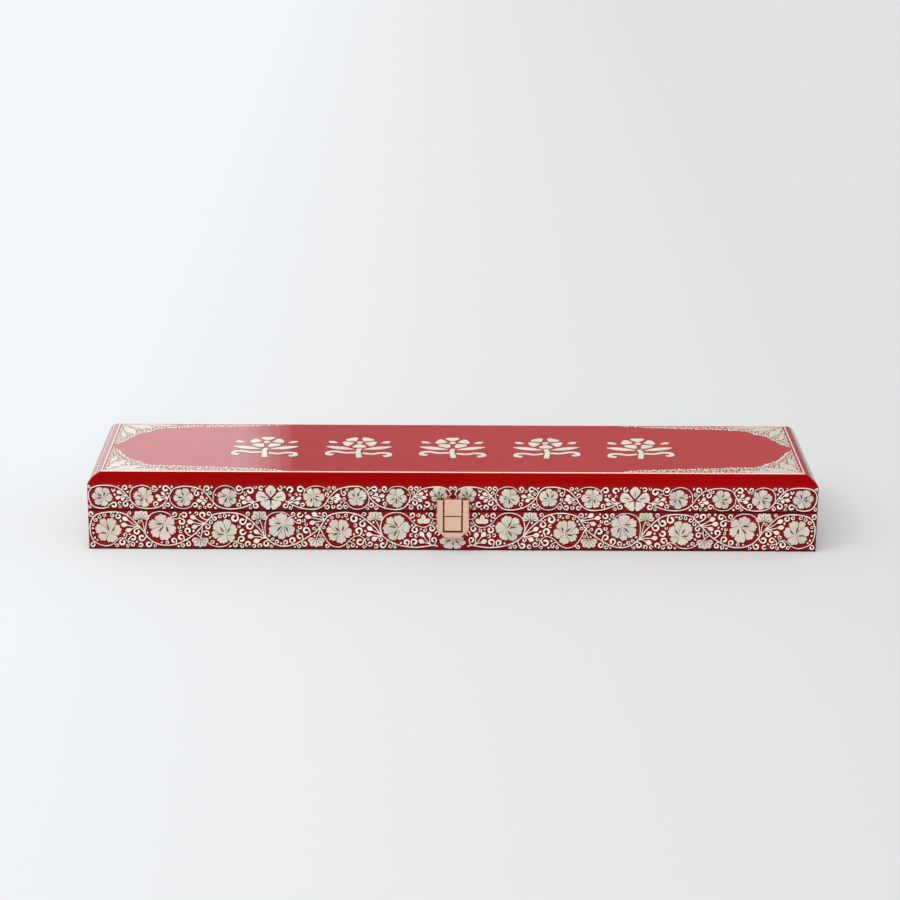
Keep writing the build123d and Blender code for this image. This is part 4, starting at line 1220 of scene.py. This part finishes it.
def frame_strip(d, hx, hy, w, tint):
    """A thin pearl line round the flat top, mitred at the corners, as four closed strips."""
    full = w
    for (x0, y0), (x1, y1) in (((-hx, -hy), (hx, -hy)), ((hx, -hy), (hx, hy)), ((hx, hy), (-hx, hy)), ((-hx, hy), (-hx, -hy))):
        # the front strip is drawn wider than the others, partly as a painted highlight along the rounded front edge
        w = 0.9 if x0 == x1 else (full if y0 < 0 else 0.5)
        n = 64
        s = np.linspace(0, 1, n)
        line = np.array([x0, y0]) * (1 - s)[:, None] + np.array([x1, y1]) * s[:, None]
        inward = -np.array([(x0 + x1) / 2, (y0 + y1) / 2])
        inward = inward / np.linalg.norm(inward)
        along = np.array([x1 - x0, y1 - y0])
        along = along / np.linalg.norm(along)
        inner = line + inward * w + along * (w * (1 - 2 * s))[:, None]
        d.plate(np.vstack([line, inner[::-1]]), 0.176, tint * np.array([0.45 if x0 == x1 else 1.0, 1.0, 1.0]))


LINES = Drawing(51)
frame_strip(LINES, 251.05, 60.05, 1.8, np.array([1.0, 0.52, 0.5]))
build([(LINES, same)], top, "lid_border", "lid", ["lid_top_border"], PEARL_LINE, LINE, drop=(0.0, 0.0), grow=0.0)


def spray(seed, turn, mirror):
    """Five parted petals round a bead, over two pairs of leaves and a stem with scrolls, about 50 by 52 mm."""
    d = Drawing(seed)
    m = -1 if mirror else 1

    def P(x, y):
        return (m * x, y)

    bright = lambda: d.tint(0.80, 1.0)
    c = np.array(P(0.0, 11.5))
    for k in range(5):
        a = turn + k * 2 * math.pi / 5
        dd = np.array([math.cos(a), math.sin(a)])
        n = np.array([-dd[1], dd[0]])
        t = np.linspace(0, 1, 26)
        half = 5.1 * np.sin(math.pi * t ** 1.5) ** 0.72
        half[-1] = 0
        along = 4.2 + 9.6 * t - 1.3 * np.exp(-((t - 1) / 0.10) ** 2)
        d.plate(np.vstack([c + dd * along[:, None] + n * half[:, None],
                           (c + dd * along[:, None] - n * half[:, None])[-2:0:-1]]), 0.30 + 0.002 * k, bright())
        ln = np.linspace(0, 1, 8)[:, None]
        for off, lg in ((-0.22, 2.6), (0.0, 4.2), (0.22, 2.6)):
            d3 = np.array([math.cos(a + off), math.sin(a + off)])
            d.hair(c + d3 * (6.2 + lg * ln), 0.32)
    a = np.linspace(0, 2 * math.pi, 20, endpoint=False)
    d.plate(np.stack([c[0] + 2.3 * np.cos(a), c[1] + 2.3 * np.sin(a)], 1), 0.32, bright())

    def branch(pts, w0, w1, h):
        line = catmull(pts)
        d.ribbon(line, np.linspace(w0, w1, len(line)), h, tint=bright())

    branch([P(0.4, -3.6), P(-0.6, -9.0), P(-0.2, -17.0), P(0.6, -25.0)], 3.4, 4.2, 0.24)
    for b, t, w in ((P(-3.4, -5.5), P(-24.5, 1.5), 7.4), (P(3.2, -5.5), P(24.0, 1.0), 7.4)):
        d.petal(b, t, w, height=0.27, pointed=0.9, tint=bright())
        b0, t0 = np.array(b), np.array(t)
        n = np.linspace(0, 1, 9)[:, None]
        d.hair(b0 + (t0 - b0) * (0.12 + 0.7 * n), 0.34)
    branch([P(-2.6, -13.0), P(-10.0, -13.5), P(-17.0, -10.5), P(-22.0, -12.0), P(-22.6, -17.0), P(-18.5, -18.5)], 3.0, 3.8, 0.22)
    branch([P(2.8, -14.5), P(9.5, -16.5), P(16.0, -14.0), P(21.5, -15.0), P(22.4, -20.0), P(18.0, -21.8)], 3.0, 3.8, 0.22)
    for x, y in ((-19.5, 12.5), (19.0, 12.0)):
        a = math.radians(150 if x < 0 else 30)
        u = np.array([math.cos(a) * m, math.sin(a)])
        q0 = np.array(P(x, y))
        d.bud(q0 - u * 4.0, q0 + u * 4.2, 4.6, bright())
    return d


sprays = []
for i, (sd, tn, mi) in enumerate(((31, 0.31, False), (32, 0.94, False), (33, 0.31, False), (34, 0.94, True), (35, 0.31, True))):
    x0 = (i - 2) * 68.5
    sprays.append((spray(sd, tn, mi), (lambda dx: (lambda x, y: (x + dx, y * 1.02 + 1.0)))(x0)))
build(sprays, top, "lid_motifs", "lid", ["lid_top_motifs"], PEARL_TOP, SHADE, top=0.26, drop=(0.30, -0.70), grow=0.20)

# ------------------------------------------------------------------ finish of the carried-over nodes
soften("lid_top_panel", 0.45, 3, 25)
for n, w in (("latch_housing", 0.45), ("latch_button", 0.22), ("latch_hasp", 0.20)):
    soften(n, w, 2, 30)


def coil_spring():
    """Compression spring under the button's slider: one dead turn at each end, four live turns, flat cut ends."""
    lo, hi = np.array(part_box("latch_spring")[0]) / MM, np.array(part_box("latch_spring")[1]) / MM
    wire = 0.25
    cx, cy = (lo[0] + hi[0]) / 2, (lo[1] + hi[1]) / 2
    r = (hi[0] - lo[0]) / 2 - wire
    z0, z1 = lo[2] + wire, hi[2] - wire
    turns, around = 6.0, 10
    t = np.linspace(0.0, turns, 6 * 28 + 1)
    dead = 2 * wire * 1.04
    z = np.interp(t, (0.0, 1.0, turns - 1.0, turns), (z0, z0 + dead, z1 - dead, z1))
    line = np.stack([cx + r * np.cos(2 * math.pi * t), cy + r * np.sin(2 * math.pi * t), z], 1)
    tan = np.gradient(line, axis=0)
    tan /= np.linalg.norm(tan, axis=1)[:, None]
    out = np.stack([np.cos(2 * math.pi * t), np.sin(2 * math.pi * t), np.zeros_like(t)], 1)
    up = np.cross(tan, out)
    verts, faces = [], []
    for p, o, u in zip(line, out, up):
        for k in range(around):
            a = 2 * math.pi * k / around
            verts.append(tuple((p + wire * (o * math.cos(a) + u * math.sin(a))) * MM))
    n = len(line)
    for i in range(n - 1):
        for k in range(around):
            j = (k + 1) % around
            faces.append((i * around + k, i * around + j, (i + 1) * around + j, (i + 1) * around + k))
    faces.append(tuple(reversed(range(around))))
    faces.append(tuple((n - 1) * around + k for k in range(around)))
    me = bpy.data.meshes.new("latch_coil")
    me.from_pydata(verts, [], faces)
    me.validate()
    bm = bmesh.new()
    bm.from_mesh(me)
    bmesh.ops.recalc_face_normals(bm, faces=bm.faces)
    bm.to_mesh(me)
    bm.free()
    for p in me.polygons:
        p.use_smooth = True
    o = bpy.data.objects.new("latch_coil", me)
    bpy.context.scene.collection.objects.link(o)
    me.materials.append(STEEL)
    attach(o, "base")
    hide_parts("latch_spring")
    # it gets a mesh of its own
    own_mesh(o)


coil_spring()

# ------------------------------------------------------------------ floor and light
def plane(name, half, z):
    me = bpy.data.meshes.new(name)
    me.from_pydata([(-half, -half, z), (half, -half, z), (half, half, z), (-half, half, z)], [], [(0, 1, 2, 3)])
    o = bpy.data.objects.new(name, me)
    bpy.context.scene.collection.objects.link(o)
    m, nt, b = new_mat(name)
    tc = nt.nodes.new("ShaderNodeTexCoord")
    sep = nt.nodes.new("ShaderNodeSeparateXYZ")
    nt.links.new(tc.outputs["Object"], sep.inputs["Vector"])
    across = nt.nodes.new("ShaderNodeMapRange")
    across.inputs["From Min"].default_value = -0.8
    across.inputs["From Max"].default_value = 0.8
    nt.links.new(sep.outputs["X"], across.inputs["Value"])
    # painted light: the floor is paler on the left and greyer to the right, a painted falloff of the light across it
    r = ramp(nt, [(0.0, (0.845, 0.870, 0.885)), (0.31, (0.835, 0.865, 0.880)), (0.50, (0.770, 0.780, 0.785)),
                  (0.69, (0.715, 0.725, 0.725)), (1.0, (0.715, 0.725, 0.725))])
    nt.links.new(across.outputs["Result"], r.inputs["Fac"])
    nt.links.new(r.outputs["Color"], b.inputs["Base Color"])
    b.inputs["Roughness"].default_value = 0.9
    b.inputs["Specular IOR Level"].default_value = 0.0
    me.materials.append(m)
    return o


plane("floor", 20.0, -0.0002)


def area(name, loc, aim, sx, sy, power, color=(1, 1, 1)):
    d = bpy.data.lights.new(name, "AREA")
    d.shape = "RECTANGLE"
    d.size, d.size_y = sx, sy
    d.energy = power
    d.color = color
    o = bpy.data.objects.new(name, d)
    bpy.context.scene.collection.objects.link(o)
    v = Vector(aim) - Vector(loc)
    o.rotation_mode = "QUATERNION"
    o.rotation_quaternion = v.to_track_quat("-Z", "Y")
    o.location = loc
    o.visible_camera = False
    return o


def sun(name, aim_from, angle, power, color=(1, 1, 1)):
    d = bpy.data.lights.new(name, "SUN")
    d.angle = math.radians(angle)
    d.energy = power
    d.color = color
    o = bpy.data.objects.new(name, d)
    bpy.context.scene.collection.objects.link(o)
    o.rotation_mode = "QUATERNION"
    o.rotation_quaternion = (-Vector(aim_from)).to_track_quat("-Z", "Y")
    o.visible_glossy = False
    o.visible_camera = False
    return o


sun("key", (-0.30, -0.42, 0.80), 66, 1.40)
sun("dome", (0.0, 0.0, 1.0), 178, 1.74)
# a card that only shows as the pale reflection on the left of the lid and on its left bevel; its right edge fades
for k, (x0, x1, part) in enumerate(((-1.68, -0.262, 1.0), (-0.262, -0.248, 0.84), (-0.248, -0.234, 0.63), (-0.234, -0.220, 0.42),
                                    (-0.220, -0.206, 0.21))):
    xc = (x0 + x1) / 2
    card = area("back_left_card_%d" % k, (xc, 1.5, 0.75), (xc, 0, 0.75), x1 - x0, 1.5, 7.5 * part * (x1 - x0) / 1.46, (0.87, 1.0, 1.02))
    card.visible_diffuse = False
side = area("left_card", (-1.6, -0.1, 1.0), (-0.2, 0, 0.05), 1.6, 1.6, 9.0)
side.visible_diffuse = False

world = bpy.data.worlds.new("world")
bpy.context.scene.world = world
world.use_nodes = True
wt = world.node_tree
bg = wt.nodes["Background"]
wtc = wt.nodes.new("ShaderNodeTexCoord")
wsep = wt.nodes.new("ShaderNodeSeparateXYZ")
wt.links.new(wtc.outputs["Generated"], wsep.inputs["Vector"])
wr = wt.nodes.new("ShaderNodeValToRGB")
stops = ((0.0, 0.36), (0.34, 0.36), (0.50, 0.20), (0.72, 0.045), (1.0, 0.04))
while len(wr.color_ramp.elements) < len(stops):
    wr.color_ramp.elements.new(0.5)
for e, (p, c) in zip(wr.color_ramp.elements, stops):
    e.position = p
    e.color = (c, c, c * 1.02, 1)
wt.links.new(wsep.outputs["Z"], wr.inputs["Fac"])
# past the edge of the floor the backdrop is as pale as the floor
wpath = wt.nodes.new("ShaderNodeLightPath")
wmix = wt.nodes.new("ShaderNodeMix")
wmix.data_type = "RGBA"
wmix.inputs[7].default_value = (0.80, 0.81, 0.82, 1.0)
wt.links.new(wpath.outputs["Is Camera Ray"], wmix.inputs[0])
wt.links.new(wr.outputs["Color"], wmix.inputs[6])
wt.links.new(wmix.outputs[2], bg.inputs["Color"])
bg.inputs["Strength"].default_value = 1.0
